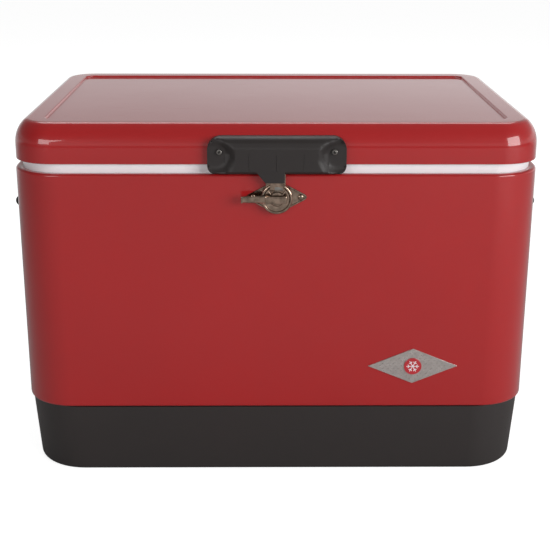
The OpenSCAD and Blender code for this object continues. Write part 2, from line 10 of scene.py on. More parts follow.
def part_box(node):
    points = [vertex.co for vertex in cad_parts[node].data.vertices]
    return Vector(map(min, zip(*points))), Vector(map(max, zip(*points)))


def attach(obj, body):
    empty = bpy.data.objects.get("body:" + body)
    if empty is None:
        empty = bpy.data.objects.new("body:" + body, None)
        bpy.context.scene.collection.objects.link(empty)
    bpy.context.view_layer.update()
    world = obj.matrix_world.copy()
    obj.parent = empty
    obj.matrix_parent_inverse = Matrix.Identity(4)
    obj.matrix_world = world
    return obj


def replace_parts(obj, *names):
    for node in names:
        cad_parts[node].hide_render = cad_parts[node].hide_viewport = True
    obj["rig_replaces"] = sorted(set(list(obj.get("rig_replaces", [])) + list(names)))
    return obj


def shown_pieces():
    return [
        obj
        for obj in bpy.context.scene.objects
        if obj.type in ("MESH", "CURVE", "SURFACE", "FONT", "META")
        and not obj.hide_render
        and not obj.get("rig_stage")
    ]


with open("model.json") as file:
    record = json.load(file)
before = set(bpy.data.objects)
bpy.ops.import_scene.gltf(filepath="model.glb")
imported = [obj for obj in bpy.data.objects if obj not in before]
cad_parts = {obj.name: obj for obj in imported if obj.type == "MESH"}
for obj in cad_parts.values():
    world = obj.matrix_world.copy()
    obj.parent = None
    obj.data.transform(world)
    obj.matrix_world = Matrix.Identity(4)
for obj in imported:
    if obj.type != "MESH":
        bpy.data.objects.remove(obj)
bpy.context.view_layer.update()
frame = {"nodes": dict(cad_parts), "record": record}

bl_info = {
    "name": "Steel chest cooler",
    "version": (1, 0, 0),
    "blender": (4, 5, 0),
    "location": "3D View > Sidebar > Cooler",
    "description": "Builds the finished surfaces of a steel chest cooler around its frame",
    "category": "Mesh",
}

MM = 0.001
CORNER_STEPS = 14
ROUND_STEPS = 48
MERGE = 2e-6
SHARP = math.radians(32)
RUBS_PER_METRE = 260
X, Y, Z = Vector((1, 0, 0)), Vector((0, 1, 0)), Vector((0, 0, 1))
QUARTER_X = Matrix.Rotation(math.pi / 2, 3, "X")


def half_plan(node):
    """Half the width and half the depth of a node, from its right and front sides."""
    low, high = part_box(node)
    return high.x, -low.y


def middle(node):
    """The middle of a node's box."""
    low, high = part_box(node)
    return (low + high) / 2


def length(default, name, description):
    """A length property in metres, given in millimetres."""
    return bpy.props.FloatProperty(
        name=name, description=description, default=default * MM, unit="LENGTH", precision=4
    )


def colour(default, name, description):
    """A colour property in linear light."""
    return bpy.props.FloatVectorProperty(
        name=name, description=description, default=default, subtype="COLOR", min=0, max=1
    )


def angle(default, name, description):
    """An angle property in radians, given in degrees."""
    return bpy.props.FloatProperty(
        name=name, description=description, default=math.radians(default), subtype="ANGLE"
    )


class CoolerSizes(bpy.types.PropertyGroup):
    """Radii, walls and small depths that the frame's boxes don't give."""

    steel: length(0.8, "Sheet", "Thickness of the sheet steel")
    body_corner: length(56, "Body corner", "Plan radius of the body's corners")
    body_edge: length(3, "Body edge", "Radius of the body's upper and lower edge")
    base_corner: length(66, "Base corner", "Plan radius of the base's corners")
    base_edge: length(6, "Base edge", "Radius along the base's lower edge")
    base_lean: angle(4.2, "Base lean", "Lean of the base's wall from upright")
    base_wall: length(3.5, "Base wall", "Thickness of the base's wall")
    rim_corner: length(48, "Rim corner", "Plan radius of the white rim's corners")
    rim_edge: length(1.5, "Rim edge", "Radius along the white rim's edges")
    hollow_wall: length(34.5, "Wall", "Distance from the steel to the hollow")
    hollow_corner: length(42, "Hollow corner", "Plan radius of the hollow's corners")
    hollow_edge: length(14, "Hollow edge", "Radius where the hollow's walls meet its floor")
    hollow_lean: angle(1.5, "Hollow lean", "Lean of the hollow's walls from upright")
    floor_height: length(38, "Hollow floor", "Height of the hollow's floor")
    lid_corner: length(45, "Lid corner", "Plan radius of the lid's corners")
    lid_side_arc: length(34, "Lid side arc", "Radius of the lid's side up to its shoulder")
    lid_shoulder: length(9, "Lid shoulder", "Radius of the lid's shoulder")
    lid_border: length(34.5, "Lid border", "Width of the border round the sunken panel")
    lid_sink: length(2.5, "Lid sink", "Depth of the sunken panel")
    plug_corner: length(37, "Plug corner", "Plan radius of the plug under the lid")
    handle_high_corner: length(14, "Handle upper corner", "Radius of the handle's upper corners")
    handle_low_corner: length(9, "Handle lower corner", "Radius of the handle's lower corners")
    handle_seat: length(8.5, "Handle seat", "Depth of the handle at its screws")
    badge_pitch: length(6.2, "Tread pitch", "Distance between the badge's tread marks")


class CoolerColours(bpy.types.PropertyGroup):
    """Colours of the finishes, in linear light."""

    enamel: colour((0.40, 0.0125, 0.0135), "Enamel", "Red of the lid and the body")
    rim: colour((0.90, 0.87, 0.895), "Rim", "White of the liner and the rim")
    base: colour((0.029, 0.0235, 0.0225), "Base", "Brown black of the moulded base")
    grip: colour((0.0185, 0.0135, 0.0125), "Grip", "Black of the handles")
    # painted reflection: this warm brown is darker than nickel itself and stands for the dark, brownish
    # surroundings and red body that the latch reflects
    nickel: colour((0.52, 0.385, 0.295), "Nickel", "Warm nickel of the latch")
    zinc: colour((0.55, 0.55, 0.53), "Zinc", "Zinc of hinges, wire and screws")
    badge: colour((0.55, 0.50, 0.475), "Badge", "Metal of the badge")
    screw: colour((0.24, 0.225, 0.21), "Screw", "Steel of the handle's screws")
    emblem: colour((0.50, 0.018, 0.028), "Emblem", "Enamel of the badge's disc")


class StageSettings(bpy.types.PropertyGroup):
    """Camera, floor and lights."""

    camera_place: bpy.props.FloatVectorProperty(
        name="Camera", description="Place of the camera", default=(-0.01374, -1.4082, 0.64133),
        subtype="XYZ", unit="LENGTH",
    )
    camera_yaw: angle(0.57, "Yaw", "Turn of the camera to the right")
    camera_pitch: angle(18.18, "Pitch", "Tilt of the camera downwards")
    camera_roll: angle(0.14, "Roll", "Turn of the camera about its own line of sight")
    camera_lens: bpy.props.FloatProperty(
        name="Lens", description="Focal length on a 36 mm sensor", default=74.71
    )
    floor_size: bpy.props.FloatProperty(
        name="Floor", description="Half the width of the floor", default=40, unit="LENGTH"
    )
    right_power: bpy.props.FloatProperty(
        name="Right light", description="Power of the right light", default=61, subtype="POWER"
    )
    top_power: bpy.props.FloatProperty(
        name="Top light", description="Power of the light above the back", default=30, subtype="POWER"
    )
    left_power: bpy.props.FloatProperty(
        name="Left light", description="Power of the left light", default=19, subtype="POWER"
    )


# ---- shapes ----


def only(parts, kind):
    """The verts, edges or faces among an operator's mixed results."""
    return [part for part in parts if isinstance(part, kind)]


def plate(bm, half_x, half_y, radius, height, steps=CORNER_STEPS):
    """One level face with rounded corners, about the Z axis."""
    before = set(bm.faces)
    verts = bmesh.ops.create_grid(bm, x_segments=1, y_segments=1, size=1)["verts"]
    bmesh.ops.scale(bm, vec=(half_x, half_y, 1), verts=verts)
    bmesh.ops.translate(bm, vec=(0, 0, height), verts=verts)
    bmesh.ops.bevel(
        bm, geom=verts, offset=radius, segments=steps, profile=0.5, affect="VERTICES", material=-1
    )
    return next(face for face in bm.faces if face not in before)


def prism(bm, face, rise, up=Z):
    """Gives a face thickness and returns its new and its old end."""
    made = bmesh.ops.extrude_face_region(bm, geom=[face], use_keep_orig=True)["geom"]
    far = only(made, bmesh.types.BMFace)[0]
    bmesh.ops.translate(bm, vec=up * rise, verts=far.verts)
    return far, face


def follow(bm, face, path, up=Z):
    """Carries a face through steps of (distance in, rise), leaving its wall behind."""
    for inward, rise in path:
        if inward > 0:
            bmesh.ops.inset_region(
                bm, faces=[face], thickness=inward, use_boundary=True, use_even_offset=True
            )
        else:
            face = bmesh.ops.extrude_discrete_faces(bm, faces=[face])["faces"][0]
        bmesh.ops.translate(bm, vec=up * rise, verts=face.verts)
    return face


def downward(path):
    """The same steps, with every rise a drop."""
    return [(inward, -rise) for inward, rise in path]


def bend(radius, start, end, steps=6):
    """Steps of (distance in, rise) round an arc. Headings in degrees: 0 is inwards, 90 is up."""
    headings = [math.radians(start + (end - start) * i / steps) for i in range(steps + 1)]
    turn = 1 if end > start else -1
    return [
        (turn * radius * (math.sin(b) - math.sin(a)), -turn * radius * (math.cos(b) - math.cos(a)))
        for a, b in zip(headings, headings[1:])
    ]


def reshape(face, old, new):
    """Takes a rounded face from one (half width, half depth, radius) to another."""
    for vert in face.verts:
        for axis in (0, 1):
            share = (abs(vert.co[axis]) - old[axis] + old[2]) / old[2]
            vert.co[axis] = math.copysign(new[axis] - new[2] + share * new[2], vert.co[axis])


def lid_bow(sizes):
    """Steps from the lid's upright side over its shoulder to its level top."""
    return bend(sizes.lid_side_arc, 90, 45, 9) + bend(sizes.lid_shoulder, 45, 0, 6)


def open_face(bm, face):
    """Takes a face away and leaves its edges."""
    bmesh.ops.delete(bm, geom=[face], context="FACES_ONLY")


def cut(bm, planes):
    """Cuts every face along planes of (place, normal)."""
    for place, normal in planes:
        everything = bm.verts[:] + bm.edges[:] + bm.faces[:]
        bmesh.ops.bisect_plane(bm, geom=everything, plane_co=place, plane_no=normal)


def lathe(bm, profile, centre, axis, steps=ROUND_STEPS, closed=False):
    """Turns a profile of (distance along the axis, radius) points about an axis."""
    before = set(bm.verts)
    side = axis.orthogonal().normalized()
    verts = [bm.verts.new(Vector(centre) + axis * along + side * out) for along, out in profile]
    pairs = list(zip(verts, verts[1:]))
    if closed:
        pairs.append((verts[-1], verts[0]))
    edges = [bm.edges.new(pair) for pair in pairs]
    bmesh.ops.spin(
        bm, geom=verts + edges, cent=centre, axis=axis, angle=math.tau, steps=steps, use_merge=True
    )
    made = [vert for vert in bm.verts if vert not in before]
    bmesh.ops.remove_doubles(bm, verts=made, dist=MERGE)
    return [vert for vert in bm.verts if vert not in before]


def block(bm, low, high, edge, steps=3):
    """A box with rounded edges."""
    before = set(bm.verts)
    low, high = Vector(low), Vector(high)
    verts = bmesh.ops.create_cube(bm, size=1)["verts"]
    bmesh.ops.scale(bm, vec=high - low, verts=verts)
    bmesh.ops.translate(bm, vec=(low + high) / 2, verts=verts)
    edges = list({line for vert in verts for line in vert.link_edges})
    bmesh.ops.bevel(
        bm, geom=edges, offset=edge, segments=steps, profile=0.5, affect="EDGES", material=-1
    )
    return [vert for vert in bm.verts if vert not in before]


def dome(radius, height, steps=6):
    """Profile of a low round head, from its edge to its top."""
    quarter = [math.pi / 2 * i / steps for i in range(steps + 1)]
    return [(0, radius)] + [
        (height * (0.25 + 0.75 * math.sin(a)), radius * math.cos(a)) for a in quarter
    ]


def turned(axis):
    """Turn that carries +Z onto an axis."""
    return Z.rotation_difference(axis).to_matrix()


def cross_screw(bm, seat, axis, radius, height):
    """A pan-head screw's head with a cross recess, standing on its seat."""
    before = set(bm.verts)
    cells, middle_r = 5, radius * 0.55
    verts = bmesh.ops.create_grid(bm, x_segments=cells, y_segments=cells, size=middle_r)["verts"]
    bmesh.ops.translate(bm, vec=(0, 0, height), verts=verts)
    cell = 2 * middle_r / cells
    cross = [
        face for face in {f for v in verts for f in v.link_faces}
        if abs(face.calc_center_median().x) + abs(face.calc_center_median().y) < 1.2 * cell
    ]
    rim = [e for e in {e for v in verts for e in v.link_edges} if e.is_boundary]
    sunk = bmesh.ops.extrude_face_region(bm, geom=cross)["geom"]
    deep = only(sunk, bmesh.types.BMVert)
    bmesh.ops.translate(bm, vec=(0, 0, -0.6 * height), verts=deep)
    bmesh.ops.scale(bm, vec=(0.7, 0.7, 1), verts=deep)
    for out, rise in ((0.82, 0.88), (0.97, 0.6), (1, 0.35), (1, 0)):
        ring = bmesh.ops.create_circle(bm, segments=4 * cells, radius=radius * out)["verts"]
        bmesh.ops.rotate(bm, matrix=Matrix.Rotation(math.pi / 4, 3, "Z"), verts=ring)
        bmesh.ops.translate(bm, vec=(0, 0, height * rise), verts=ring)
        lines = list({e for v in ring for e in v.link_edges})
        bmesh.ops.bridge_loops(bm, edges=rim + lines)
        rim = lines
    made = [vert for vert in bm.verts if vert not in before]
    bmesh.ops.rotate(bm, matrix=turned(axis), verts=made)
    bmesh.ops.translate(bm, vec=seat, verts=made)


def run_wire(bm, loop, vec):
    """Carries a ring of edges straight on."""
    made = bmesh.ops.extrude_edge_only(bm, edges=loop)["geom"]
    bmesh.ops.translate(bm, vec=vec, verts=only(made, bmesh.types.BMVert))
    return only(made, bmesh.types.BMEdge)


def turn_wire(bm, loop, centre, turn, steps=8):
    """Carries a ring of edges round a bend about the X axis."""
    made = bmesh.ops.spin(
        bm, geom=loop, cent=centre, axis=X, angle=math.radians(turn), steps=steps
    )["geom_last"]
    return only(made, bmesh.types.BMEdge)


def finish_piece(bm, name, body, slot, nodes=(), wall=0, facing=None):
    """Makes the object, gives it its finish and sets it on its body in place of CAD nodes."""
    bmesh.ops.remove_doubles(bm, verts=bm.verts, dist=MERGE)
    bmesh.ops.recalc_face_normals(bm, faces=bm.faces)
    if facing is not None:
        largest = max(bm.faces, key=lambda face: face.calc_area())
        if largest.normal.dot(facing) < 0:
            bmesh.ops.reverse_faces(bm, faces=bm.faces)
    mesh = bpy.data.meshes.new(name)
    bm.to_mesh(mesh)
    bm.free()
    mesh.shade_smooth()
    mesh.set_sharp_from_angle(angle=SHARP)
    mesh.materials.append(finish_of(slot))
    piece = bpy.data.objects.new(name, mesh)
    bpy.context.scene.collection.objects.link(piece)
    if wall:
        thick = piece.modifiers.new("Wall", "SOLIDIFY")
        thick.thickness = wall
        thick.offset = -1
    shading = piece.modifiers.new("Flat faces", "WEIGHTED_NORMAL")
    shading.keep_sharp = True
    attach(piece, body)
    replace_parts(piece, *nodes)
    return piece


# ---- finishes ----


def add(tree, kind, inputs=None, **settings):
    """Adds a node; an input is a plain value or the socket that feeds it."""
    made = tree.nodes.new(kind)
    for key, value in settings.items():
        setattr(made, key, value)
    for key, value in (inputs or {}).items():
        if isinstance(value, bpy.types.NodeSocket):
            tree.links.new(value, made.inputs[key])
        else:
            made.inputs[key].default_value = value
    return made


def group(name, inputs, outputs):
    """A new node group with named sockets, and its input and output nodes."""
    tree = bpy.data.node_groups.new(name, "ShaderNodeTree")
    for socket, kind in inputs:
        tree.interface.new_socket(name=socket, in_out="INPUT", socket_type=kind)
    for socket, kind in outputs:
        tree.interface.new_socket(name=socket, in_out="OUTPUT", socket_type=kind)
    return tree, add(tree, "NodeGroupInput"), add(tree, "NodeGroupOutput")


def shared(name, build):
    """A node group that is built once and used in every finish."""
    return bpy.data.node_groups.get(name) or build(name)


def object_place(tree, stretch=None):
    """Object coordinates, stretched by a vector where one is given."""
    place = add(tree, "ShaderNodeTexCoord").outputs["Object"]
    if stretch is None:
        return place
    return add(tree, "ShaderNodeVectorMath", {0: place, 1: stretch}, operation="MULTIPLY").outputs[0]


def drift_group(name):
    """Slow change of colour and gloss over a surface."""
    tree, inner, outer = group(
        name,
        [("First colour", "NodeSocketColor"), ("Second colour", "NodeSocketColor"),
         ("Scale", "NodeSocketFloat")],
        [("Colour", "NodeSocketColor"), ("Value", "NodeSocketFloat")],
    )
    noise = add(
        tree, "ShaderNodeTexNoise",
        {"Vector": object_place(tree), "Scale": inner.outputs["Scale"], "Detail": 4.0, "Roughness": 0.55},
    )
    spread = add(
        tree, "ShaderNodeMapRange",
        {"Value": noise.outputs["Fac"], "From Min": 0.3, "From Max": 0.7},
    ).outputs["Result"]
    mixed = add(
        tree, "ShaderNodeMixRGB",
        {"Fac": spread, "Color1": inner.outputs["First colour"], "Color2": inner.outputs["Second colour"]},
    ).outputs["Color"]
    tree.links.new(mixed, outer.inputs["Colour"])
    tree.links.new(spread, outer.inputs["Value"])
    return tree


def relief_group(name):
    """Fine relief, such as orange peel, moulded grain or brushing."""
    tree, inner, outer = group(
        name,
        [("Scale", "NodeSocketFloat"), ("Detail", "NodeSocketFloat"), ("Stretch", "NodeSocketVector")],
        [("Height", "NodeSocketFloat")],
    )
    noise = add(
        tree, "ShaderNodeTexNoise",
        {"Vector": object_place(tree, inner.outputs["Stretch"]), "Scale": inner.outputs["Scale"],
         "Detail": inner.outputs["Detail"], "Roughness": 0.6},
    )
    tree.links.new(noise.outputs["Fac"], outer.inputs["Height"])
    return tree


def rub_group(name):
    """Thin rub marks from handling, in patches."""
    tree, inner, outer = group(
        name, [("Scale", "NodeSocketFloat"), ("Amount", "NodeSocketFloat")],
        [("Mask", "NodeSocketFloat")],
    )
    lines = add(
        tree, "ShaderNodeTexNoise",
        {"Vector": object_place(tree, (0.12, 1.0, 1.0)), "Scale": inner.outputs["Scale"], "Detail": 6.0},
    )
    thin = add(
        tree, "ShaderNodeMapRange",
        {"Value": lines.outputs["Fac"], "From Min": 0.62, "From Max": 0.70},
    )
    patches = add(
        tree, "ShaderNodeTexNoise", {"Vector": object_place(tree), "Scale": 9.0, "Detail": 2.0}
    )
    chosen = add(
        tree, "ShaderNodeMapRange",
        {"Value": patches.outputs["Fac"], "From Min": 0.5, "From Max": 0.66},
    )
    both = add(
        tree, "ShaderNodeMath", {0: thin.outputs["Result"], 1: chosen.outputs["Result"]},
        operation="MULTIPLY",
    )
    mask = add(
        tree, "ShaderNodeMath", {0: both.outputs["Value"], 1: inner.outputs["Amount"]},
        operation="MULTIPLY",
    )
    tree.links.new(mask.outputs["Value"], outer.inputs["Mask"])
    return tree


def shaded(base, share):
    """A colour made darker or lighter by a share."""
    return tuple(part * share for part in base) + (1,)


# tone is the share of its colour that a darker patch keeps, drift is patches per metre, gloss is
# the lowest and highest roughness, and grain, detail, depth and stretch shape the fine relief
Finish = namedtuple(
    "Finish", "tone drift gloss grain detail depth rub stretch shader", defaults=((1, 1, 1), {})
)
PAINT = {"Coat Weight": 1.0, "Coat Roughness": 0.035, "Coat IOR": 1.5, "Specular IOR Level": 0.2}
FINISHES = {
    "red_paint": Finish(0.93, 5, (0.30, 0.36), 520, 1.5, 0.012 * MM, 0.10, shader=PAINT),
    "white_plastic": Finish(0.975, 4, (0.26, 0.32), 900, 2, 0.01 * MM, 0.03, shader={"IOR": 1.5}),
    "black_plastic": Finish(0.82, 9, (0.42, 0.55), 1500, 5, 0.06 * MM, 0.25, shader={"IOR": 1.49}),
    "handle_plastic": Finish(0.85, 30, (0.44, 0.56), 1900, 4, 0.03 * MM, 0.2, shader={"IOR": 1.49}),
    # painted reflection: the nickel's darker patches, which keep 0.42 of its colour, stand for dark
    # reflections on the latch and are not tarnish
    "nickel": Finish(0.42, 170, (0.10, 0.22), 1400, 3, 0.006 * MM, 0.6, shader={"Metallic": 1.0}),
    "zinc": Finish(0.78, 60, (0.28, 0.46), 1500, 4, 0.01 * MM, 0.5, (0.1, 1, 1), {"Metallic": 1.0}),
    "black_steel": Finish(0.8, 60, (0.22, 0.32), 1800, 3, 0.01 * MM, 0.5, shader={"Metallic": 0.9}),
    "badge_metal": Finish(
        0.72, 120, (0.24, 0.40), 2600, 3, 0.015 * MM, 0.5, (1, 1, 0.2), {"Metallic": 0.55}
    ),
    "red_enamel": Finish(0.9, 60, (0.12, 0.2), 700, 1, 0.01 * MM, 0.1, shader={"Coat Weight": 0.6}),
    "foam": Finish(0.8, 40, (0.8, 0.95), 700, 6, 0.4 * MM, 0.0),
    "gasket_rubber": Finish(0.85, 30, (0.5, 0.65), 1200, 4, 0.04 * MM, 0.1),
    "black_rubber": Finish(0.8, 60, (0.55, 0.7), 1600, 4, 0.04 * MM, 0.2),
}


def slot_colour(slot):
    """The panel's colour of a slot, or the record's where the panel has none."""
    chosen = bpy.context.scene.cooler_colours
    own = {
        "red_paint": chosen.enamel, "white_plastic": chosen.rim, "black_plastic": chosen.base,
        "handle_plastic": chosen.grip, "nickel": chosen.nickel, "zinc": chosen.zinc,
        "badge_metal": chosen.badge, "red_enamel": chosen.emblem, "black_steel": chosen.screw,
    }
    if slot in own:
        return tuple(own[slot])
    return next(tuple(m["base_color"][:3]) for m in frame["record"]["materials"] if m["slot"] == slot)


def finish_of(slot):
    """The material of a slot, built once."""
    name = slot + " finish"
    if name in bpy.data.materials:
        return bpy.data.materials[name]
    finish = FINISHES[slot]
    base = slot_colour(slot)
    material = bpy.data.materials.new(name)
    material.use_nodes = True
    tree = material.node_tree
    shader = tree.nodes["Principled BSDF"]
    slow = add(
        tree, "ShaderNodeGroup",
        {"First colour": shaded(base, 1), "Second colour": shaded(base, finish.tone),
         "Scale": finish.drift},
        node_tree=shared("Slow drift", drift_group),
    )
    fine = add(
        tree, "ShaderNodeGroup",
        {"Scale": finish.grain, "Detail": finish.detail, "Stretch": finish.stretch},
        node_tree=shared("Fine relief", relief_group),
    )
    marks = add(
        tree, "ShaderNodeGroup", {"Scale": RUBS_PER_METRE, "Amount": finish.rub},
        node_tree=shared("Rub marks", rub_group),
    )
    smooth, rough = finish.gloss
    gloss = add(
        tree, "ShaderNodeMapRange",
        {"Value": slow.outputs["Value"], "To Min": smooth, "To Max": rough},
    )
    worn = add(
        tree, "ShaderNodeMath", {0: gloss.outputs["Result"], 1: marks.outputs["Mask"]},
        operation="ADD", use_clamp=True,
    )
    bump = add(
        tree, "ShaderNodeBump", {"Height": fine.outputs["Height"], "Distance": finish.depth, "Strength": 1.0}
    )
    tree.links.new(slow.outputs["Colour"], shader.inputs["Base Color"])
    tree.links.new(worn.outputs["Value"], shader.inputs["Roughness"])
    tree.links.new(bump.outputs["Normal"], shader.inputs["Normal"])
    for socket, value in finish.shader.items():
        shader.inputs[socket].default_value = value
    return material


def dress(node, slot):
    """Gives a CAD node that stays its finish."""
    mesh = frame["nodes"][node].data
    mesh.materials.clear()
    mesh.materials.append(finish_of(slot))


# ---- pieces ----


class COOLER_OT_base(bpy.types.Operator):
    """Moulded base: a leaning tub with a rounded foot and a flat pad for the drain"""

    bl_idname = "cooler.base"
    bl_label = "Moulded base"

    def execute(self, context):
        sizes = context.scene.cooler_sizes
        half_x, half_y = half_plan("base_tub")
        land, lap_in = 1 * MM, 2.6 * MM
        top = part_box("steel_wrap")[0].z - 0.4 * MM
        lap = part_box("base_tub")[1].z - top
        bm = bmesh.new()
        face = plate(bm, half_x, half_y, sizes.base_corner, top)
        low, high = prism(bm, face, -land)
        foot = downward(bend(sizes.base_edge, 90 - math.degrees(sizes.base_lean), 0, 8))
        drop = top - land + sum(rise for _, rise in foot)
        follow(bm, low, [(drop * math.tan(sizes.base_lean), -drop)] + foot)
        follow(bm, high, [(lap_in, 0), (0, lap), (sizes.base_wall, 0), (0, -lap - top / 2)])
        drain = middle("drain_spout")
        pad_r, pad_t, pad_edge = 17.5 * MM, 10 * MM, 0.6 * MM
        lathe(
            bm, [(0, pad_r), (pad_t - pad_edge, pad_r), (pad_t, pad_r - pad_edge), (pad_t, 0)],
            (half_x - pad_t, drain.y, drain.z), X,
        )
        finish_piece(bm, "moulded_base", "chest", "black_plastic", ["base_tub"])
        return {"FINISHED"}


class COOLER_OT_wrap(bpy.types.Operator):
    """Sheet steel wrap with its folded upper edge, rolled hem and back seam"""

    bl_idname = "cooler.wrap"
    bl_label = "Steel wrap"

    def execute(self, context):
        sizes = context.scene.cooler_sizes
        half_x, half_y = half_plan("steel_wrap")
        low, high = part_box("steel_wrap")
        edge = sizes.body_edge
        bm = bmesh.new()
        face = plate(bm, half_x, half_y, sizes.body_corner, low.z + edge)
        top, foot = prism(bm, face, high.z - low.z - 2 * edge)
        ledge = half_x - half_plan("liner")[0] - edge - 0.3 * MM
        top = follow(bm, top, bend(edge, 90, 0) + [(ledge, 0)])
        hem = bend(sizes.steel, 0, 90, 3) + [(0, 2 * MM)]
        foot = follow(bm, foot, downward(bend(edge, 90, 0)) + hem)
        open_face(bm, top)
        open_face(bm, foot)
        seam = 6 * MM
        start = (-seam, half_y - sizes.steel, low.z + seam)
        block(bm, start, (seam, high.y, high.z - seam), 0.4 * MM)
        finish_piece(bm, "body_wrap", "chest", "red_paint", ["steel_wrap"], wall=sizes.steel)
        return {"FINISHED"}


class COOLER_OT_liner(bpy.types.Operator):
    """White liner: the rim under the lid, the deck and the hollow"""

    bl_idname = "cooler.liner"
    bl_label = "Liner"

    def execute(self, context):
        sizes = context.scene.cooler_sizes
        half_x, half_y = half_plan("liner")
        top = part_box("liner")[1].z
        body_x, body_y = half_plan("steel_wrap")
        edge = sizes.rim_edge
        skirt = 20 * MM
        bm = bmesh.new()
        face = plate(bm, half_x, half_y, sizes.rim_corner, top - skirt)
        face = follow(bm, face, [(0, skirt - edge)] + bend(edge, 90, 0, 4) + [(edge, 0)])
        rim = (half_x - 2 * edge, half_y - 2 * edge, sizes.rim_corner - 2 * edge)
        wall = sizes.hollow_wall - edge
        reshape(face, rim, (body_x - wall, body_y - wall, sizes.hollow_corner + edge))
        lean = math.degrees(sizes.hollow_lean)
        over = bend(edge, 0, -90, 4)
        foot = downward(bend(sizes.hollow_edge, 90 - lean, 0, 8))
        drop = top - sizes.floor_height - edge + sum(rise for _, rise in foot)
        follow(bm, face, over + [(drop * math.tan(sizes.hollow_lean), -drop)] + foot)
        finish_piece(bm, "white_liner", "chest", "white_plastic", ["liner"], wall=3 * MM, facing=Z)
        return {"FINISHED"}


class COOLER_OT_lid(bpy.types.Operator):
    """Pressed steel lid with a rounded edge and a sunken panel"""

    bl_idname = "cooler.lid"
    bl_label = "Pressed lid"

    def execute(self, context):
        sizes = context.scene.cooler_sizes
        half_x, half_y = half_plan("lid_shell")
        low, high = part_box("lid_shell")
        bow = lid_bow(sizes)
        step = sizes.lid_sink / 2
        bm = bmesh.new()
        face = plate(bm, half_x, half_y, sizes.lid_corner, low.z + sizes.steel)
        side = high.z - low.z - sizes.steel - sum(rise for _, rise in bow)
        top, foot = prism(bm, face, side)
        border = sizes.lid_border - step - sum(inward for inward, _ in bow)
        follow(
            bm, top,
            bow + [(border, 0)] + bend(step, 0, -90, 5) + bend(step, -90, 0, 5),
        )
        hem = downward(bend(sizes.steel, 90, 0, 3))
        open_face(bm, follow(bm, foot, hem + [(3 * MM, 0)]))
        finish_piece(bm, "pressed_lid", "lid", "red_paint", ["lid_shell"], wall=sizes.steel)
        return {"FINISHED"}


def lid_panel(sizes):
    """The white panel under the lid, with its plug and a field sunk in the plug."""
    half_x, half_y = half_plan("lid_liner")
    low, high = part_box("lid_liner")
    body_x, body_y = half_plan("steel_wrap")
    flange, edge, border, field_edge = 2.5 * MM, 4 * MM, 20 * MM, 1.5 * MM
    corner = sizes.lid_corner - 1 * MM
    plug_in = sizes.hollow_wall + sizes.hollow_corner - sizes.plug_corner
    bm = bmesh.new()
    face = plate(bm, half_x, half_y, corner, high.z)
    face = follow(bm, face, [(0, -flange), (edge, 0)])
    reshape(
        face, (half_x - edge, half_y - edge, corner - edge),
        (body_x - plug_in, body_y - plug_in, sizes.plug_corner),
    )
    plug = [(0, low.z + flange + edge - high.z)] + downward(bend(edge, 90, 0, 5))
    field = bend(field_edge, 0, 90, 4) + bend(field_edge, 90, 0, 4)
    follow(bm, face, plug + [(border, 0)] + field)
    finish_piece(bm, "lid_panel", "lid", "white_plastic", ["lid_liner"], wall=1.5 * MM, facing=-Z)


def gasket_bead(sizes):
    """The soft bead round the plug, two half rings that meet."""
    low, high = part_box("lid_gasket")
    width, meet = 6 * MM, 0.2 * MM
    bead = (high.z - low.z - meet) / 2
    bm = bmesh.new()
    face = plate(bm, high.x, high.y, sizes.hollow_corner + 8 * MM, low.z + bead)
    top, foot = prism(bm, face, meet)
    ring = bend(bead, 90, 0, 5) + [(width - 2 * bead, 0)] + bend(bead, 0, -90, 5)
    open_face(bm, follow(bm, top, ring))
    open_face(bm, follow(bm, foot, downward(ring)))
    bmesh.ops.remove_doubles(bm, verts=bm.verts, dist=1.25 * meet)
    finish_piece(bm, "gasket_bead", "lid", "gasket_rubber", ["lid_gasket"])


class COOLER_OT_lid_inside(bpy.types.Operator):
    """White panel and plug under the lid, with the soft gasket round it"""

    bl_idname = "cooler.lid_inside"
    bl_label = "Lid panel and gasket"

    def execute(self, context):
        lid_panel(context.scene.cooler_sizes)
        gasket_bead(context.scene.cooler_sizes)
        return {"FINISHED"}


HANDLE_RISE = 40 * MM
HANDLE_WALL = 3.2 * MM
FINGERS_FROM, FINGERS_TO = 16 * MM, 56 * MM
TAB_LEFT, TAB_RIGHT = 13 * MM, 8.5 * MM


def handle_depth(x, z, low, high, out, seat):
    """How far the handle stands out from the lid at a place on its front."""
    top_r, lip_r = 11 * MM, 3 * MM
    scoop_x, scoop_z = 67 * MM, low + 19 * MM
    scoop_r, blend = 12 * MM, 10 * MM
    depth = out
    if z > high - top_r:
        depth = out - top_r + math.sqrt(max(top_r ** 2 - (z - high + top_r) ** 2, 0))
    elif z < low + lip_r:
        depth = out - lip_r + math.sqrt(max(lip_r ** 2 - (low + lip_r - z) ** 2, 0))
    away = math.hypot(abs(x) - scoop_x, z - scoop_z)
    share = min(max((away - scoop_r) / blend, 0), 1)
    share = share * share * (3 - 2 * share)
    return min(depth, seat + (depth - seat) * share) if depth > seat else depth


def handle_block(bm, sizes, half_x, foot, top, lid_front, out):
    """The block that holds the whole handle, with its four corners rounded."""
    verts = bmesh.ops.create_grid(bm, x_segments=1, y_segments=1, size=1)["verts"]
    bmesh.ops.scale(bm, vec=(half_x, (top - foot) / 2, 1), verts=verts)
    upper = [vert for vert in verts if vert.co.y > 0]
    lower = [vert for vert in verts if vert.co.y < 0]
    for corners, radius in ((upper, sizes.handle_high_corner), (lower, sizes.handle_low_corner)):
        bmesh.ops.bevel(
            bm, geom=corners, offset=radius, segments=10, profile=0.5, affect="VERTICES", material=-1
        )
    bmesh.ops.rotate(bm, matrix=QUARTER_X, verts=bm.verts)
    bmesh.ops.translate(bm, vec=(0, lid_front, (top + foot) / 2), verts=bm.verts)
    prism(bm, bm.faces[:][0], out, -Y)


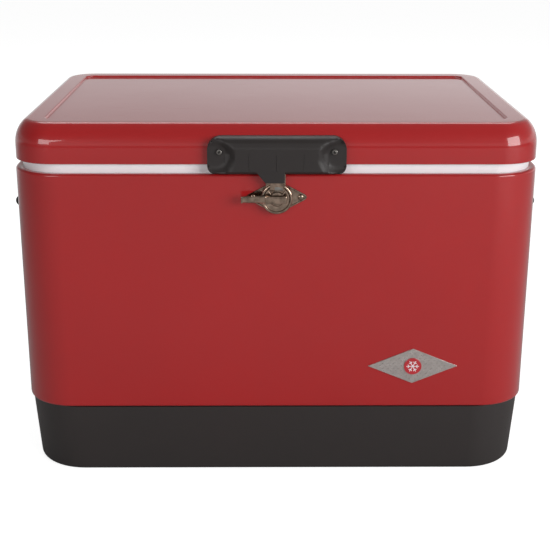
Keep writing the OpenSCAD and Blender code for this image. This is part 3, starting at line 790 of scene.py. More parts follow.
def handle_cuts(bm, foot, wall_y, back_y):
    """Cuts the block finely enough for its curved front, and along its walls."""
    across = [x * MM for x in range(-73, 74, 2)]
    across += [side * x for side in (-1, 1) for x in (FINGERS_FROM, FINGERS_TO)]
    upward = [1, 2, *range(3, 28, 3), *range(29, 38, 2), 38.3, 39.3]
    cut(bm, [((x, 0, 0), X) for x in across])
    cut(bm, [((0, 0, foot + z * MM), Z) for z in upward])
    cut(bm, [((0, wall_y, 0), Y), ((0, back_y, 0), Y)])


def finger_hollows(bm, wall_y, back_y):
    """A deep hollow in the handle's underside on each side of its middle."""
    mouths = [
        face for face in bm.faces
        if face.normal.z < -0.9
        and FINGERS_FROM < abs(face.calc_center_median().x) < FINGERS_TO
        and wall_y < face.calc_center_median().y < back_y
    ]
    sunk = bmesh.ops.extrude_face_region(bm, geom=mouths)["geom"]
    bmesh.ops.translate(bm, vec=(0, 0, 22 * MM), verts=only(sunk, bmesh.types.BMVert))


def handle_surface(bm, sizes, foot, top, lid_front, out):
    """Curves the front, fits the back to the lid's edge and returns the front's verts."""
    near = 0.1 * MM
    front_y = lid_front - out
    front = [vert for vert in bm.verts if vert.co.y < front_y + near]
    back = [vert for vert in bm.verts if vert.co.y > lid_front - near]

    def surface(vert):
        return lid_front - handle_depth(
            vert.co.x, vert.co.z, foot, top, out, sizes.handle_seat
        )

    for vert in front:
        vert.co.y = surface(vert)
    # where the front curves back it goes 1 mm further in, and the cuts behind it keep to that line
    for vert in bm.verts:
        if front_y + near < vert.co.y < lid_front - near:
            vert.co.y = max(vert.co.y, surface(vert) + 1 * MM)
    arc = sizes.lid_side_arc
    arc_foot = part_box("lid_shell")[1].z - sum(rise for _, rise in lid_bow(sizes))
    for vert in back:
        above = vert.co.z - arc_foot
        if above > 0:
            vert.co.y += arc - math.sqrt(arc ** 2 - above ** 2)
        vert.co.y -= 0.15 * MM
    return front


def handle_rim(bm, front):
    """Rounds the edge between the handle's front and its sides."""
    bmesh.ops.recalc_face_normals(bm, faces=bm.faces)
    rim = [
        edge for edge in bm.edges
        if len(edge.link_faces) == 2
        and all(vert in front for vert in edge.verts)
        and min(face.normal.y for face in edge.link_faces) < -0.25
        and max(face.normal.y for face in edge.link_faces) > -0.15
    ]
    bmesh.ops.bevel(
        bm, geom=rim, offset=2.2 * MM, segments=4, profile=0.5, affect="EDGES", material=-1
    )


def handle_ribs(bm, foot, front_y):
    """Three thin upright ribs on the handle's middle."""
    for x in (-29.5, 0, 29.5):
        block(
            bm, ((x - 0.5) * MM, front_y - 0.5 * MM, foot + 4 * MM),
            ((x + 0.5) * MM, front_y + 1 * MM, foot + 22 * MM), 0.3 * MM,
        )


def handle_tab(bm, low, foot):
    """The tab over the latch, with a slanting left side."""
    tab = block(
        bm, (-TAB_LEFT, low.y + 0.05 * MM, low.z), (TAB_RIGHT, low.y + HANDLE_WALL, foot + 8 * MM),
        0.8 * MM,
    )
    lean = [vert for vert in tab if vert.co.x < 0 and vert.co.z > foot]
    bmesh.ops.translate(bm, vec=(-TAB_LEFT, 0, 0), verts=lean)


class COOLER_OT_front_handle(bpy.types.Operator):
    """Moulded front handle: a full middle, scooped ends round the screws and a latch tab"""

    bl_idname = "cooler.front_handle"
    bl_label = "Front handle"

    def execute(self, context):
        sizes = context.scene.cooler_sizes
        low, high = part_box("lid_handle")
        lid_front = -half_plan("lid_shell")[1]
        foot = high.z - HANDLE_RISE
        out = lid_front - low.y
        wall_y, back_y = low.y + HANDLE_WALL, lid_front - 1 * MM
        bm = bmesh.new()
        handle_block(bm, sizes, high.x, foot, high.z, lid_front, out)
        handle_cuts(bm, foot, wall_y, back_y)
        finger_hollows(bm, wall_y, back_y)
        handle_rim(bm, handle_surface(bm, sizes, foot, high.z, lid_front, out))
        handle_ribs(bm, foot, low.y)
        handle_tab(bm, low, foot)
        finish_piece(bm, "front_handle", "lid", "handle_plastic", ["lid_handle"])
        bm = bmesh.new()
        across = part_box("handle_screws")[1].x - 4 * MM
        for side in (-1, 1):
            seat = (side * across, lid_front - sizes.handle_seat, middle("handle_screws").z)
            cross_screw(bm, seat, -Y, 3.4 * MM, 2.2 * MM)
        finish_piece(bm, "handle_screw_heads", "lid", "black_steel", ["handle_screws"])
        return {"FINISHED"}


LATCH_EDGE = 0.25 * MM


def latch_plate():
    """The pointed back plate, a hull round three discs with a raised border."""
    low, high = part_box("latch_plate")
    radius, tip = (high.z - low.z) / 2, 3.5 * MM
    bm = bmesh.new()
    for x, round_r in ((low.x + tip, tip), (0, radius), (high.x - tip, tip)):
        made = bmesh.ops.create_cone(
            bm, cap_ends=False, segments=ROUND_STEPS, radius1=round_r, radius2=round_r,
            depth=high.y - low.y,
        )["verts"]
        bmesh.ops.translate(bm, vec=(x, 0, 0), verts=made)
    bmesh.ops.delete(bm, geom=bm.edges[:], context="EDGES_FACES")
    hull = bmesh.ops.convex_hull(bm, input=bm.verts)
    spare = set(only(hull["geom_interior"] + hull["geom_unused"], bmesh.types.BMVert))
    bmesh.ops.delete(bm, geom=list(spare), context="VERTS")
    bmesh.ops.dissolve_limit(bm, angle_limit=math.radians(1), verts=bm.verts, edges=bm.edges)
    bmesh.ops.rotate(bm, matrix=turned(-Y), verts=bm.verts)
    bmesh.ops.translate(bm, vec=(0, (low.y + high.y) / 2, (low.z + high.z) / 2), verts=bm.verts)
    bm.normal_update()
    face = max(bm.faces, key=lambda f: f.calc_area() * (f.normal.y < -0.9))
    border = [(LATCH_EDGE, LATCH_EDGE), (1.1 * MM, 0), (0.5 * MM, -0.55 * MM)]
    follow(bm, face, border, -Y)
    finish_piece(bm, "latch_back_plate", "chest", "nickel", ["latch_plate"])


def housing_ring(deep, radius):
    """Profile of the housing: a rounded rim, a sunken face and the open inside."""
    rim_r, shaft_r = 1.6 * MM, 4.4 * MM
    rim = [
        (deep - rim_r + rim_r * math.sin(a), radius - rim_r + rim_r * math.cos(a))
        for a in [math.pi / 2 * i / 6 for i in range(7)]
    ]
    face = [(deep, radius - 2.4 * MM), (deep - 0.9 * MM, radius - 3.6 * MM), (deep - 1.3 * MM, shaft_r)]
    inside = [(deep - 2.4 * MM, shaft_r), (deep - 2.4 * MM, radius - 4.2 * MM), (0, radius - 1.2 * MM)]
    return [(0, radius)] + rim + face + inside


def latch_housing(centre_z, radius):
    """The round housing, open at its top between flared cheeks for the strike."""
    low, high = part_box("latch_housing")
    bm = bmesh.new()
    lathe(bm, housing_ring(high.y - low.y, radius), (0, high.y, centre_z), -Y, 72, closed=True)
    sill, mouth, wall = centre_z + 8.5 * MM, 7.2 * MM, 0.9 * MM
    cut(bm, [((-mouth, 0, 0), X), ((mouth, 0, 0), X), ((0, 0, sill), Z)])
    gone = [
        face for face in bm.faces
        if face.calc_center_median().z > sill and abs(face.calc_center_median().x) < mouth
    ]
    bmesh.ops.delete(bm, geom=gone, context="FACES")
    front = low.y + 0.5 * MM
    lap = 0.2 * MM
    block(bm, (-mouth, front, sill - wall), (mouth, high.y, sill + lap), 0.3 * MM)
    for side in (-1, 1):
        inner, outer = sorted((side * (mouth - lap), side * (mouth + wall)))
        block(bm, (inner, front, sill - wall), (outer, high.y, centre_z + radius - 2 * MM), 0.3 * MM)
        flare = block(bm, (-0.7 * MM, front - 1.1 * MM, 0), (0.7 * MM, front, 5.4 * MM), 0.5 * MM)
        bmesh.ops.rotate(bm, matrix=Matrix.Rotation(side * 0.6, 3, "Y"), verts=flare)
        bmesh.ops.translate(bm, vec=(side * 6.3 * MM, 0, centre_z + 4.4 * MM), verts=flare)
    finish_piece(bm, "latch_round_housing", "chest", "nickel", ["latch_housing"])


def latch_rivets(centre_z):
    """The two rivets through the plate's points."""
    low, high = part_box("latch_rivets")
    head_r, head_rise = (high.z - low.z) / 2, 1.9 * MM
    bm = bmesh.new()
    for x in (low.x + head_r, high.x - head_r):
        lathe(bm, dome(head_r, head_rise), (x, low.y + head_rise, centre_z), -Y, 24)
    finish_piece(bm, "latch_rivet_heads", "chest", "nickel", ["latch_rivets"])


def latch_lever(centre_z):
    """The turning lever: a round hub on a short shaft, a bar and a narrower, thinner end."""
    low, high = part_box("latch_lever")
    front, bar_back = low.y, low.y + 5.5 * MM
    bar_half, lip_half = 4.5 * MM, 3.7 * MM
    end_half = bar_half - 0.4 * MM
    shaft_r, shaft_deep, hub_r, hub_rise = 4 * MM, 6 * MM, 8 * MM, 1.6 * MM
    hub = [(0, hub_r), (hub_rise / 2, hub_r), (hub_rise, hub_r - 0.8 * MM), (hub_rise, 0)]
    shaft = [(-shaft_deep, 0), (-shaft_deep, shaft_r), (-0.05 * MM, shaft_r)]
    bm = bmesh.new()
    lathe(bm, shaft + hub, (0, bar_back, centre_z), -Y)
    block(
        bm, (-13 * MM, front, centre_z - bar_half), (high.x, bar_back - 0.3 * MM, centre_z + bar_half),
        1.8 * MM, 2,
    )
    end = block(
        bm, (low.x, front + 2.4 * MM, centre_z - end_half),
        (-12 * MM, bar_back - 0.5 * MM, centre_z + end_half), 1 * MM, 1,
    )
    tip = [vert for vert in end if vert.co.x < low.x + 4 * MM]
    bmesh.ops.scale(bm, vec=(1, 1, 0.86), verts=tip, space=Matrix.Translation((0, 0, -centre_z)))
    block(
        bm, (low.x, front + 1.2 * MM, centre_z - lip_half),
        (low.x + 2 * MM, bar_back - 0.6 * MM, centre_z + lip_half), 0.7 * MM,
    )
    finish_piece(bm, "latch_turn_lever", "latch_turner", "nickel", ["latch_lever"])


class COOLER_OT_latch(bpy.types.Operator):
    """Turn latch: pointed plate, round housing, rivets and the turning lever"""

    bl_idname = "cooler.latch"
    bl_label = "Turn latch"

    def execute(self, context):
        low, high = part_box("latch_plate")
        centre_z = (low.z + high.z) / 2
        latch_plate()
        latch_housing(centre_z, (high.z - low.z) / 2)
        latch_rivets(centre_z)
        latch_lever(centre_z)
        return {"FINISHED"}


def badge_plate(sizes, centre, disc):
    """The lozenge, with tread marks in a brick pattern that stays clear of its edge and disc."""
    low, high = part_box("badge_plate")
    half_x, half_z = (high.x - low.x) / 2, (high.z - low.z) / 2
    bm = bmesh.new()
    verts = bmesh.ops.create_circle(bm, cap_ends=True, segments=4, radius=1)["verts"]
    bmesh.ops.scale(bm, vec=(half_x, half_z, 1), verts=verts)
    bmesh.ops.rotate(bm, matrix=QUARTER_X, verts=verts)
    bmesh.ops.translate(bm, vec=(centre.x, high.y, centre.z), verts=verts)
    front, _ = prism(bm, bm.faces[:][0], high.y - low.y, -Y)
    follow(bm, front, [(0.25 * MM, 0.15 * MM), (0.7 * MM, 0), (0.3 * MM, -0.3 * MM)], -Y)
    pitch = sizes.badge_pitch
    columns, rows = int(half_x / pitch), int(half_z / pitch * 2)
    for column in range(-2 * columns, 2 * columns + 1):
        for row in range(-rows, rows + 1):
            x, z = column * pitch / 2, row * pitch / 2
            inside = abs(x) / (half_x - 6 * MM) + abs(z) / (half_z - 2.6 * MM) < 1
            if (column + row) % 2 or not inside or math.hypot(x, z) < disc + 1.4 * MM:
                continue
            place = (centre.x + x, low.y + 0.15 * MM, centre.z + z)
            tread_mark(bm, place, 40 if column % 2 else -40)
    finish_piece(bm, "badge_lozenge", "chest", "badge_metal", ["badge_plate"])


def tread_mark(bm, place, lean):
    """One raised lozenge of the tread pattern, turned by a lean in degrees."""
    mark = bmesh.ops.create_cone(
        bm, cap_ends=True, segments=4, radius1=1, radius2=0.4, depth=1
    )["verts"]
    bmesh.ops.scale(bm, vec=(2.3 * MM, 0.8 * MM, 0.9 * MM), verts=mark)
    bmesh.ops.rotate(bm, matrix=Matrix.Rotation(math.radians(lean), 3, "Z"), verts=mark)
    bmesh.ops.rotate(bm, matrix=turned(-Y), verts=mark)
    bmesh.ops.translate(bm, vec=place, verts=mark)


def badge_disc(low, high, disc):
    """The enamel disc, with a thin raised rim."""
    deep = high.y - low.y
    rim = [(0, disc), (deep, disc), (deep + 0.15 * MM, disc - 0.3 * MM), (deep, disc - 0.9 * MM)]
    bm = bmesh.new()
    lathe(bm, rim + [(deep, 0)], (middle("badge_plate").x, high.y, middle("badge_plate").z), -Y, 64)
    finish_piece(bm, "badge_disc", "chest", "red_enamel", ["badge_emblem"])


def badge_snowflake(place, disc):
    """Six arms with two branches each, a little proud of the disc."""
    arm, thin, rise, sunk = disc * 0.72, 0.42 * MM, 0.15 * MM, 0.1 * MM
    bm = bmesh.new()
    for turn in range(6):
        made = block(bm, (0, -rise, -thin), (arm, sunk, thin), 0.1 * MM, 1)
        for side in (-1, 1):
            branch = block(bm, (0, -rise, -thin), (arm * 0.36, sunk, thin), 0.1 * MM, 1)
            spread = Matrix.Rotation(side * math.radians(52), 3, "Y")
            bmesh.ops.rotate(bm, matrix=spread, verts=branch)
            bmesh.ops.translate(bm, vec=(arm * 0.55, 0, 0), verts=branch)
            made += branch
        bmesh.ops.rotate(bm, matrix=Matrix.Rotation(turn * math.pi / 3, 3, "Y"), verts=made)
        bmesh.ops.translate(bm, vec=place, verts=made)
    finish_piece(bm, "badge_snowflake", "chest", "white_plastic")


class COOLER_OT_badge(bpy.types.Operator):
    """Lozenge badge with tread marks and a round enamel disc with a snowflake"""

    bl_idname = "cooler.badge"
    bl_label = "Badge"

    def execute(self, context):
        centre = middle("badge_plate")
        low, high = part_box("badge_emblem")
        disc = (high.x - low.x) / 2
        badge_plate(context.scene.cooler_sizes, centre, disc)
        badge_disc(low, high, disc)
        badge_snowflake((centre.x, low.y, centre.z), disc)
        return {"FINISHED"}


KNUCKLE_R, PIN_R = 3.6 * MM, 2 * MM
KNUCKLE_HALF = 11 * MM
LEAF_T = 1.4 * MM


def knuckle(bm, centre, inner, half):
    """A hinge's rolled knuckle along X."""
    edge = 0.4 * MM
    ring = [
        (-half, inner), (-half, KNUCKLE_R - edge), (edge - half, KNUCKLE_R),
        (half - edge, KNUCKLE_R), (half, KNUCKLE_R - edge), (half, inner),
    ]
    lathe(bm, ring, centre, X, 32, closed=True)


def leaf_screws(bm, centre_x, y, z, spread):
    """A row of screw heads on a hinge leaf."""
    for x in spread:
        cross_screw(bm, (centre_x + x * MM, y, z), Y, 3.4 * MM, 1.6 * MM)


def lower_leaf(word, axis, heads):
    """The leaf on the body, with the two outer knuckles."""
    node = "hinge_body_leaf_" + word
    low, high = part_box(node)
    centre_x, half = (low.x + high.x) / 2, (high.x - low.x) / 2
    end_half = (half - KNUCKLE_HALF - 0.3 * MM) / 2
    bm = bmesh.new()
    block(bm, low, (high.x, low.y + LEAF_T, axis.z - 1 * MM), 0.5 * MM)
    for end in (-1, 1):
        place = Vector((centre_x + end * (half - end_half), axis.y, axis.z))
        knuckle(bm, place, PIN_R, end_half)
        block(
            bm, (place.x - end_half, low.y, axis.z - 3.4 * MM),
            (place.x + end_half, axis.y - 1 * MM, axis.z - 2.2 * MM), 0.3 * MM,
        )
    finish_piece(bm, "hinge_lower_leaf_" + word, "chest", "zinc", [node])
    leaf_screws(heads, centre_x, low.y + LEAF_T, low.z + 13 * MM, (-22, 0, 22))


def upper_leaf(word, axis, heads):
    """The leaf on the lid, stepped out to its middle knuckle."""
    node = "hinge_lid_leaf_" + word
    low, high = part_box(node)
    centre_x = (low.x + high.x) / 2
    left, right = centre_x - KNUCKLE_HALF, centre_x + KNUCKLE_HALF
    back, front = low.y, low.y + LEAF_T
    foot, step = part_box("lid_shell")[0].z + 0.6 * MM, axis.z + 1.2 * MM
    bm = bmesh.new()
    block(bm, (low.x, back, foot), (high.x, front, high.z), 0.5 * MM)
    block(bm, (left, back, step), (right, front, foot + 2 * MM), 0.4 * MM)
    block(bm, (left, back, step), (right, axis.y, step + 2 * MM), 0.4 * MM)
    knuckle(bm, (centre_x, axis.y, axis.z), PIN_R + 0.05 * MM, KNUCKLE_HALF)
    finish_piece(bm, "hinge_upper_leaf_" + word, "lid", "zinc", [node])
    leaf_screws(heads, centre_x, front, high.z - 7.5 * MM, (-22, 22))


def hinge_pin(bm, centre, reach):
    """A pin with a flat head on each end."""
    head_r, head_t = PIN_R + 0.9 * MM, 1.2 * MM
    profile = [
        (0, PIN_R), (reach - head_t, PIN_R), (reach - head_t, head_r), (reach - 0.5 * MM, head_r),
        (reach, head_r * 0.5), (reach, 0),
    ]
    for end in (-1, 1):
        lathe(bm, profile, centre, end * X, 24)


class COOLER_OT_hinges(bpy.types.Operator):
    """Two butt hinges on the back, with their pins and screws"""

    bl_idname = "cooler.hinges"
    bl_label = "Hinges"

    def execute(self, context):
        axis = middle("hinge_pins")
        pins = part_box("hinge_pins")
        pin_mesh, low_heads, high_heads = bmesh.new(), bmesh.new(), bmesh.new()
        for word, end_x in (("left", pins[0].x), ("right", pins[1].x)):
            centre_x = middle("hinge_body_leaf_" + word).x
            lower_leaf(word, axis, low_heads)
            upper_leaf(word, axis, high_heads)
            hinge_pin(pin_mesh, (centre_x, axis.y, axis.z), abs(end_x - centre_x))
        finish_piece(pin_mesh, "hinge_pin_pair", "chest", "zinc", ["hinge_pins"])
        finish_piece(low_heads, "hinge_lower_screws", "chest", "zinc", ["hinge_body_screws"])
        finish_piece(high_heads, "hinge_upper_screws", "lid", "zinc", ["hinge_lid_screws"])
        return {"FINISHED"}


WIRE_R = 3 * MM
EAR_T = 2.2 * MM


def bail_wire(word, axis, half, drop):
    """A bent wire: out of one bracket, down, across and back up into the other."""
    arm, near, far = 58 * MM, 6 * MM, 10 * MM
    stub, fall, low_z = arm + near - half, near + far - drop, axis.z - drop
    bm = bmesh.new()
    ring = bmesh.ops.create_circle(bm, cap_ends=False, segments=20, radius=WIRE_R)["verts"]
    bmesh.ops.rotate(bm, matrix=turned(Y), verts=ring)
    bmesh.ops.translate(bm, vec=(axis.x, half, axis.z), verts=ring)
    first = list({edge for vert in ring for edge in vert.link_edges})
    loop = run_wire(bm, first, (0, stub, 0))
    loop = turn_wire(bm, loop, (axis.x, arm + near, axis.z - near), 90)
    loop = run_wire(bm, loop, (0, 0, fall))
    loop = turn_wire(bm, loop, (axis.x, arm - far, low_z + far), -90)
    loop = run_wire(bm, loop, (0, 2 * (far - arm), 0))
    loop = turn_wire(bm, loop, (axis.x, far - arm, low_z + far), -90)
    loop = run_wire(bm, loop, (0, 0, -fall))
    loop = turn_wire(bm, loop, (axis.x, -arm - near, axis.z - near), 90)
    for end in (first, run_wire(bm, loop, (0, stub, 0))):
        bmesh.ops.edgeloop_fill(bm, edges=end)
    finish_piece(bm, "bail_wire_" + word, word + "_bail", "zinc", ["bail_" + word])


def bail_sleeve(word, centre):
    """The grip: a tube with round ribs and rounded ends."""
    node = "bail_grip_" + word
    low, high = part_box(node)
    grip_r, half = (high.z - low.z) / 2, high.y
    end_r, rib, rib_pitch, steps = 2.4 * MM, 0.45 * MM, 8 * MM, 88
    profile = [(-half, WIRE_R)]
    for step in range(steps + 1):
        along = -half + 2 * half * step / steps
        end = min((half - abs(along)) / (5 * MM), 1)
        groove = rib * (1 + math.cos(math.tau * along / rib_pitch))
        profile.append((along, grip_r - end_r * (1 - math.sqrt(1 - (1 - end) ** 2)) - groove))
    profile.append((half, WIRE_R))
    bm = bmesh.new()
    lathe(bm, profile, centre, Y, 40, closed=True)
    finish_piece(bm, "bail_sleeve_" + word, word + "_bail", "handle_plastic", [node])


def bail_ear(bm, place, wall_x, half_z, side):
    """One bracket: a riveted plate and the nose that holds the wire."""
    half_y, edge = 11 * MM, 0.6 * MM
    nose_r, nose_half, nose_edge = 6.5 * MM, 9 * MM, 0.8 * MM
    before = set(bm.verts)
    top, _ = prism(bm, plate(bm, half_z, half_y, 5 * MM, 0, 6), EAR_T - edge)
    follow(bm, top, bend(edge, 90, 0, 3))
    made = [vert for vert in bm.verts if vert not in before]
    bmesh.ops.rotate(bm, matrix=Matrix.Rotation(side * math.pi / 2, 3, "Y"), verts=made)
    bmesh.ops.translate(bm, vec=(wall_x, place.y, place.z), verts=made)
    nose = [(-nose_half, WIRE_R), (-nose_half, nose_r - nose_edge), (nose_edge - nose_half, nose_r)]
    nose += [(-along, out) for along, out in reversed(nose)]
    lathe(bm, nose, place, Y, 32, closed=True)
    inner, outer = sorted((wall_x, place.x - side * 3.2 * MM))
    block(
        bm, (inner, place.y - nose_half, place.z - nose_r + edge),
        (outer, place.y + nose_half, place.z + nose_r - edge), nose_edge,
    )


class COOLER_OT_side_handles(bpy.types.Operator):
    """A wire bail with a ribbed grip on each end, its brackets and rivets"""

    bl_idname = "cooler.side_handles"
    bl_label = "Side handles"

    def execute(self, context):
        rivets = bmesh.new()
        for side, word in ((-1, "left"), (1, "right")):
            low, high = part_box("bail_" + word)
            axis = Vector(((low.x + high.x) / 2, 0, high.z - WIRE_R))
            drop = axis.z - low.z - WIRE_R
            bail_wire(word, axis, high.y, drop)
            bail_sleeve(word, (axis.x, 0, axis.z - drop))
            low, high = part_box("bail_brackets_" + word)
            wall_x = side * (half_plan("steel_wrap")[0] + 0.1 * MM)
            ears = bmesh.new()
            for end in (-1, 1):
                place = Vector((axis.x, end * (high.y - 11 * MM), axis.z))
                bail_ear(ears, place, wall_x, (high.z - low.z) / 2, side)
                for rise in (-16 * MM, 16 * MM):
                    seat = (wall_x + side * EAR_T, place.y, place.z + rise)
                    lathe(rivets, dome(3.2 * MM, 1.9 * MM), seat, side * X, 24)
            finish_piece(
                ears, "bail_ears_" + word, "chest", "handle_plastic", ["bail_brackets_" + word]
            )
        finish_piece(rivets, "bail_rivet_heads", "chest", "zinc", ["bracket_rivets"])
        return {"FINISHED"}


TUBE_R, THREAD_GAP = 9 * MM, 0.4 * MM
LIP = 0.7 * MM


def drain_tube(centre):
    """The tube through the wall, with its flange against the base."""
    low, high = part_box("drain_spout")
    bore, flange_r = 6 * MM, (high.z - low.z) / 2
    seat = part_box("base_tub")[1].x + 0.1 * MM
    face = seat + 2.4 * MM
    profile = [
        (low.x, bore), (low.x, TUBE_R), (seat, TUBE_R), (seat, flange_r - LIP), (seat + LIP, flange_r),
        (face - LIP, flange_r), (face, flange_r - LIP), (face, TUBE_R), (high.x - LIP, TUBE_R),
        (high.x, TUBE_R - LIP), (high.x, bore),
    ]
    bm = bmesh.new()
    lathe(bm, profile, centre, X, closed=True)
    finish_piece(bm, "drain_tube", "chest", "handle_plastic", ["drain_spout"])


def drain_nut(centre):
    """The six-sided nut inside the hollow."""
    low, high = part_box("drain_nut")
    corner = (high.z - low.z) / 2 / math.cos(math.radians(30))
    hole = TUBE_R * 1.16
    profile = [
        (low.x, hole), (low.x, corner - LIP), (low.x + LIP, corner), (high.x - LIP, corner),
        (high.x, corner - LIP), (high.x, hole),
    ]
    bm = bmesh.new()
    lathe(bm, profile, centre, X, 6, closed=True)
    finish_piece(bm, "drain_hex_nut", "chest", "white_plastic", ["drain_nut"])


def drain_cap(centre):
    """The screw cap, with a sunken face and flutes round its side."""
    low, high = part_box("drain_cap")
    outer, inner, floor = (high.z - low.z) / 2, TUBE_R + THREAD_GAP, high.x - 2.3 * MM
    dish, flutes, flute_deep = high.x - 0.5 * MM, 18, 0.9 * MM
    profile = [
        (low.x, inner), (low.x, outer - 0.6 * MM), (low.x + 0.6 * MM, outer),
        (high.x - 1.4 * MM, outer), (high.x - 0.4 * MM, outer - 0.5 * MM),
        (high.x, outer - 1.6 * MM), (high.x, outer * 0.55), (dish, outer * 0.5), (dish, 0),
        (floor, 0), (floor, inner), (low.x, inner),
    ]
    bm = bmesh.new()
    lathe(bm, profile, centre, X, 108)
    for vert in bm.verts:
        y, z = vert.co.y - centre[1], vert.co.z - centre[2]
        if math.hypot(y, z) > outer - 0.8 * MM:
            flute = max(math.cos(flutes * math.atan2(z, y)), 0) * flute_deep
            share = 1 - flute / outer
            vert.co.y, vert.co.z = centre[1] + y * share, centre[2] + z * share
    finish_piece(bm, "drain_fluted_cap", "drain_screw_cap", "handle_plastic", ["drain_cap"])


class COOLER_OT_drain(bpy.types.Operator):
    """Drain tube with its flange and nut, and the fluted screw cap"""

    bl_idname = "cooler.drain"
    bl_label = "Drain"

    def execute(self, context):
        centre = middle("drain_spout")
        centre.x = 0
        drain_tube(centre)
        drain_nut(centre)
        drain_cap(centre)
        return {"FINISHED"}


class COOLER_OT_inner_parts(bpy.types.Operator):
    """Finishes of the CAD parts that stay: insulation, strike, latch inside and drain seals"""

    bl_idname = "cooler.inner_parts"
    bl_label = "Inner parts"

    def execute(self, context):
        slots = {row["node"]: row["material_slot"] for row in frame["record"]["subparts"]}
        stood_for = {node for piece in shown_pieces() for node in piece.get("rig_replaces", [])}
        for node in sorted(set(frame["nodes"]) - stood_for):
            dress(node, slots[node])
        return {"FINISHED"}


# ---- stage ----


def soft_light(name, place, target, width, height, power):
    """A rectangular area light that faces a point."""
    data = bpy.data.lights.new(name, "AREA")
    data.shape = "RECTANGLE"
    data.size, data.size_y = width, height
    data.energy = power
    lamp = bpy.data.objects.new(name, data)
    lamp.location = place
    lamp.rotation_euler = (Vector(target) - Vector(place)).to_track_quat("-Z", "Y").to_euler()
    bpy.context.scene.collection.objects.link(lamp)


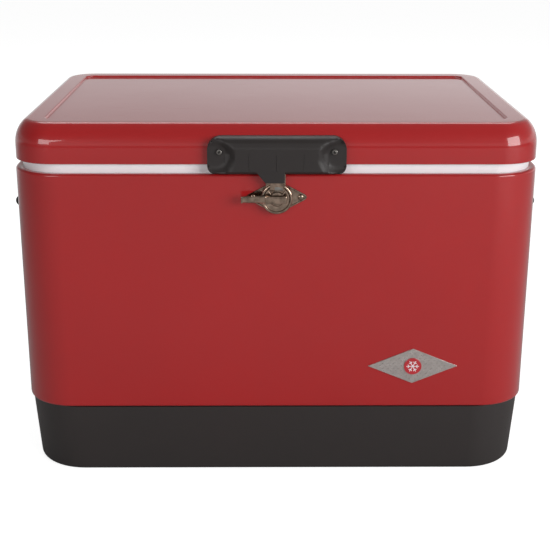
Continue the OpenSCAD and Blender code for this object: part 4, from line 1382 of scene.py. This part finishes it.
class COOLER_OT_stage(bpy.types.Operator):
    """Camera, pale floor, surroundings and soft lights"""

    bl_idname = "cooler.stage"
    bl_label = "Stage"

    def execute(self, context):
        scene = context.scene
        stage = scene.cooler_stage
        lens = bpy.data.cameras.new("view")
        lens.lens = stage.camera_lens
        lens.sensor_width = 36
        camera = bpy.data.objects.new("view", lens)
        scene.collection.objects.link(camera)
        camera.matrix_world = (
            Matrix.Translation(stage.camera_place)
            @ Matrix.Rotation(-stage.camera_yaw, 4, "Z")
            @ Matrix.Rotation(math.pi / 2 - stage.camera_pitch, 4, "X")
            @ Matrix.Rotation(stage.camera_roll, 4, "Z")
        )
        scene.camera = camera
        scene.view_settings.view_transform = "Standard"
        self.floor(scene, stage.floor_size)
        self.surroundings(scene)
        soft_light("right", (2.1, -2.2, 1.05), (0, 0, 0.3), 1.9, 1.5, stage.right_power)
        soft_light("above", (0, 1.4, 2.6), (0, 0, 0.4), 2.6, 1.4, stage.top_power)
        soft_light("left", (-1.5, -2.7, 1.05), (0, 0, 0.3), 1.6, 0.8, stage.left_power)
        return {"FINISHED"}

    def floor(self, scene, half):
        """A pale floor that glows for the camera, and far behind for everything."""
        bm = bmesh.new()
        verts = bmesh.ops.create_grid(bm, x_segments=1, y_segments=1, size=half)["verts"]
        bmesh.ops.translate(bm, vec=(0, 0, -0.2 * MM), verts=verts)
        mesh = bpy.data.meshes.new("floor")
        bm.to_mesh(mesh)
        bm.free()
        material = bpy.data.materials.new("floor")
        material.use_nodes = True
        tree = material.node_tree
        shader = tree.nodes["Principled BSDF"]
        shader.inputs["Base Color"].default_value = (0.5, 0.5, 0.5, 1)
        shader.inputs["Roughness"].default_value = 0.9
        shader.inputs["Specular IOR Level"].default_value = 0.0
        shader.inputs["Emission Color"].default_value = (1, 1, 1, 1)
        seen = add(tree, "ShaderNodeLightPath").outputs["Is Camera Ray"]
        lift = add(tree, "ShaderNodeMath", {0: seen, 1: 0.85}, operation="MULTIPLY")
        behind = add(
            tree, "ShaderNodeMapRange",
            {"Value": add(tree, "ShaderNodeSeparateXYZ", {"Vector": object_place(tree)}).outputs["Y"],
             "From Min": 0.6, "From Max": 1.8, "To Min": 0.0, "To Max": 0.5},
        )
        glow = add(
            tree, "ShaderNodeMath", {0: lift.outputs["Value"], 1: behind.outputs["Result"]},
            operation="MAXIMUM",
        )
        tree.links.new(glow.outputs["Value"], shader.inputs["Emission Strength"])
        mesh.materials.append(material)
        ground = bpy.data.objects.new("floor", mesh)
        scene.collection.objects.link(ground)
        ground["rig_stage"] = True

    def surroundings(self, scene):
        """Pale behind and near the horizon, dimmer overhead and in front."""
        world = bpy.data.worlds.new("surroundings")
        scene.world = world
        world.use_nodes = True
        tree = world.node_tree
        sky = add(tree, "ShaderNodeTexCoord").outputs["Generated"]
        way = add(tree, "ShaderNodeSeparateXYZ", {"Vector": sky})
        ramp = add(tree, "ShaderNodeValToRGB", {"Fac": way.outputs["Z"]})
        levels = ((0.0, 0.95), (0.13, 0.92), (0.22, 0.44), (0.45, 0.32), (1.0, 0.34))
        stops = ramp.color_ramp.elements
        while len(stops) < len(levels):
            stops.new(0.5)
        for stop, (place, level) in zip(stops, levels):
            stop.position = place
            stop.color = (level, level, level, 1)
        facing = add(
            tree, "ShaderNodeMapRange",
            {"Value": way.outputs["Y"], "From Min": -0.6, "From Max": 0.3, "To Min": 0.66, "To Max": 1.0},
        )
        sides = add(
            tree, "ShaderNodeMapRange",
            {"Value": way.outputs["X"], "From Min": -0.8, "From Max": 0.3, "To Min": 0.45, "To Max": 1.0},
        )
        strength = add(
            tree, "ShaderNodeMath", {0: facing.outputs["Result"], 1: sides.outputs["Result"]},
            operation="MULTIPLY",
        )
        seen = add(tree, "ShaderNodeLightPath").outputs["Is Camera Ray"]
        shown = add(
            tree, "ShaderNodeMixRGB",
            {"Fac": seen, "Color1": ramp.outputs["Color"], "Color2": (1, 1, 1, 1)},
        )
        level = add(
            tree, "ShaderNodeMath", {0: strength.outputs["Value"], 1: seen}, operation="MAXIMUM"
        )
        back = tree.nodes["Background"]
        tree.links.new(shown.outputs["Color"], back.inputs["Color"])
        tree.links.new(level.outputs["Value"], back.inputs["Strength"])


OPERATORS = [
    COOLER_OT_stage, COOLER_OT_base, COOLER_OT_wrap, COOLER_OT_liner, COOLER_OT_lid,
    COOLER_OT_lid_inside, COOLER_OT_front_handle, COOLER_OT_latch, COOLER_OT_badge,
    COOLER_OT_hinges, COOLER_OT_side_handles, COOLER_OT_drain, COOLER_OT_inner_parts,
]


class COOLER_PT_panel(bpy.types.Panel):
    """Lists the cooler's pieces in the order in which they are made"""

    bl_idname = "COOLER_PT_panel"
    bl_label = "Steel chest cooler"
    bl_space_type = "VIEW_3D"
    bl_region_type = "UI"
    bl_category = "Cooler"

    def draw(self, context):
        for operator in OPERATORS:
            self.layout.operator(operator.bl_idname)


CLASSES = [CoolerSizes, CoolerColours, StageSettings] + OPERATORS + [COOLER_PT_panel]


def register():
    for made in CLASSES:
        bpy.utils.register_class(made)
    bpy.types.Scene.cooler_sizes = bpy.props.PointerProperty(type=CoolerSizes)
    bpy.types.Scene.cooler_colours = bpy.props.PointerProperty(type=CoolerColours)
    bpy.types.Scene.cooler_stage = bpy.props.PointerProperty(type=StageSettings)


def unregister():
    del bpy.types.Scene.cooler_stage
    del bpy.types.Scene.cooler_colours
    del bpy.types.Scene.cooler_sizes
    for made in reversed(CLASSES):
        bpy.utils.unregister_class(made)


def main():
    register()
    for operator in OPERATORS:
        group_name, name = operator.bl_idname.split(".")
        getattr(getattr(bpy.ops, group_name), name)()


if __name__ == "__main__":
    main()
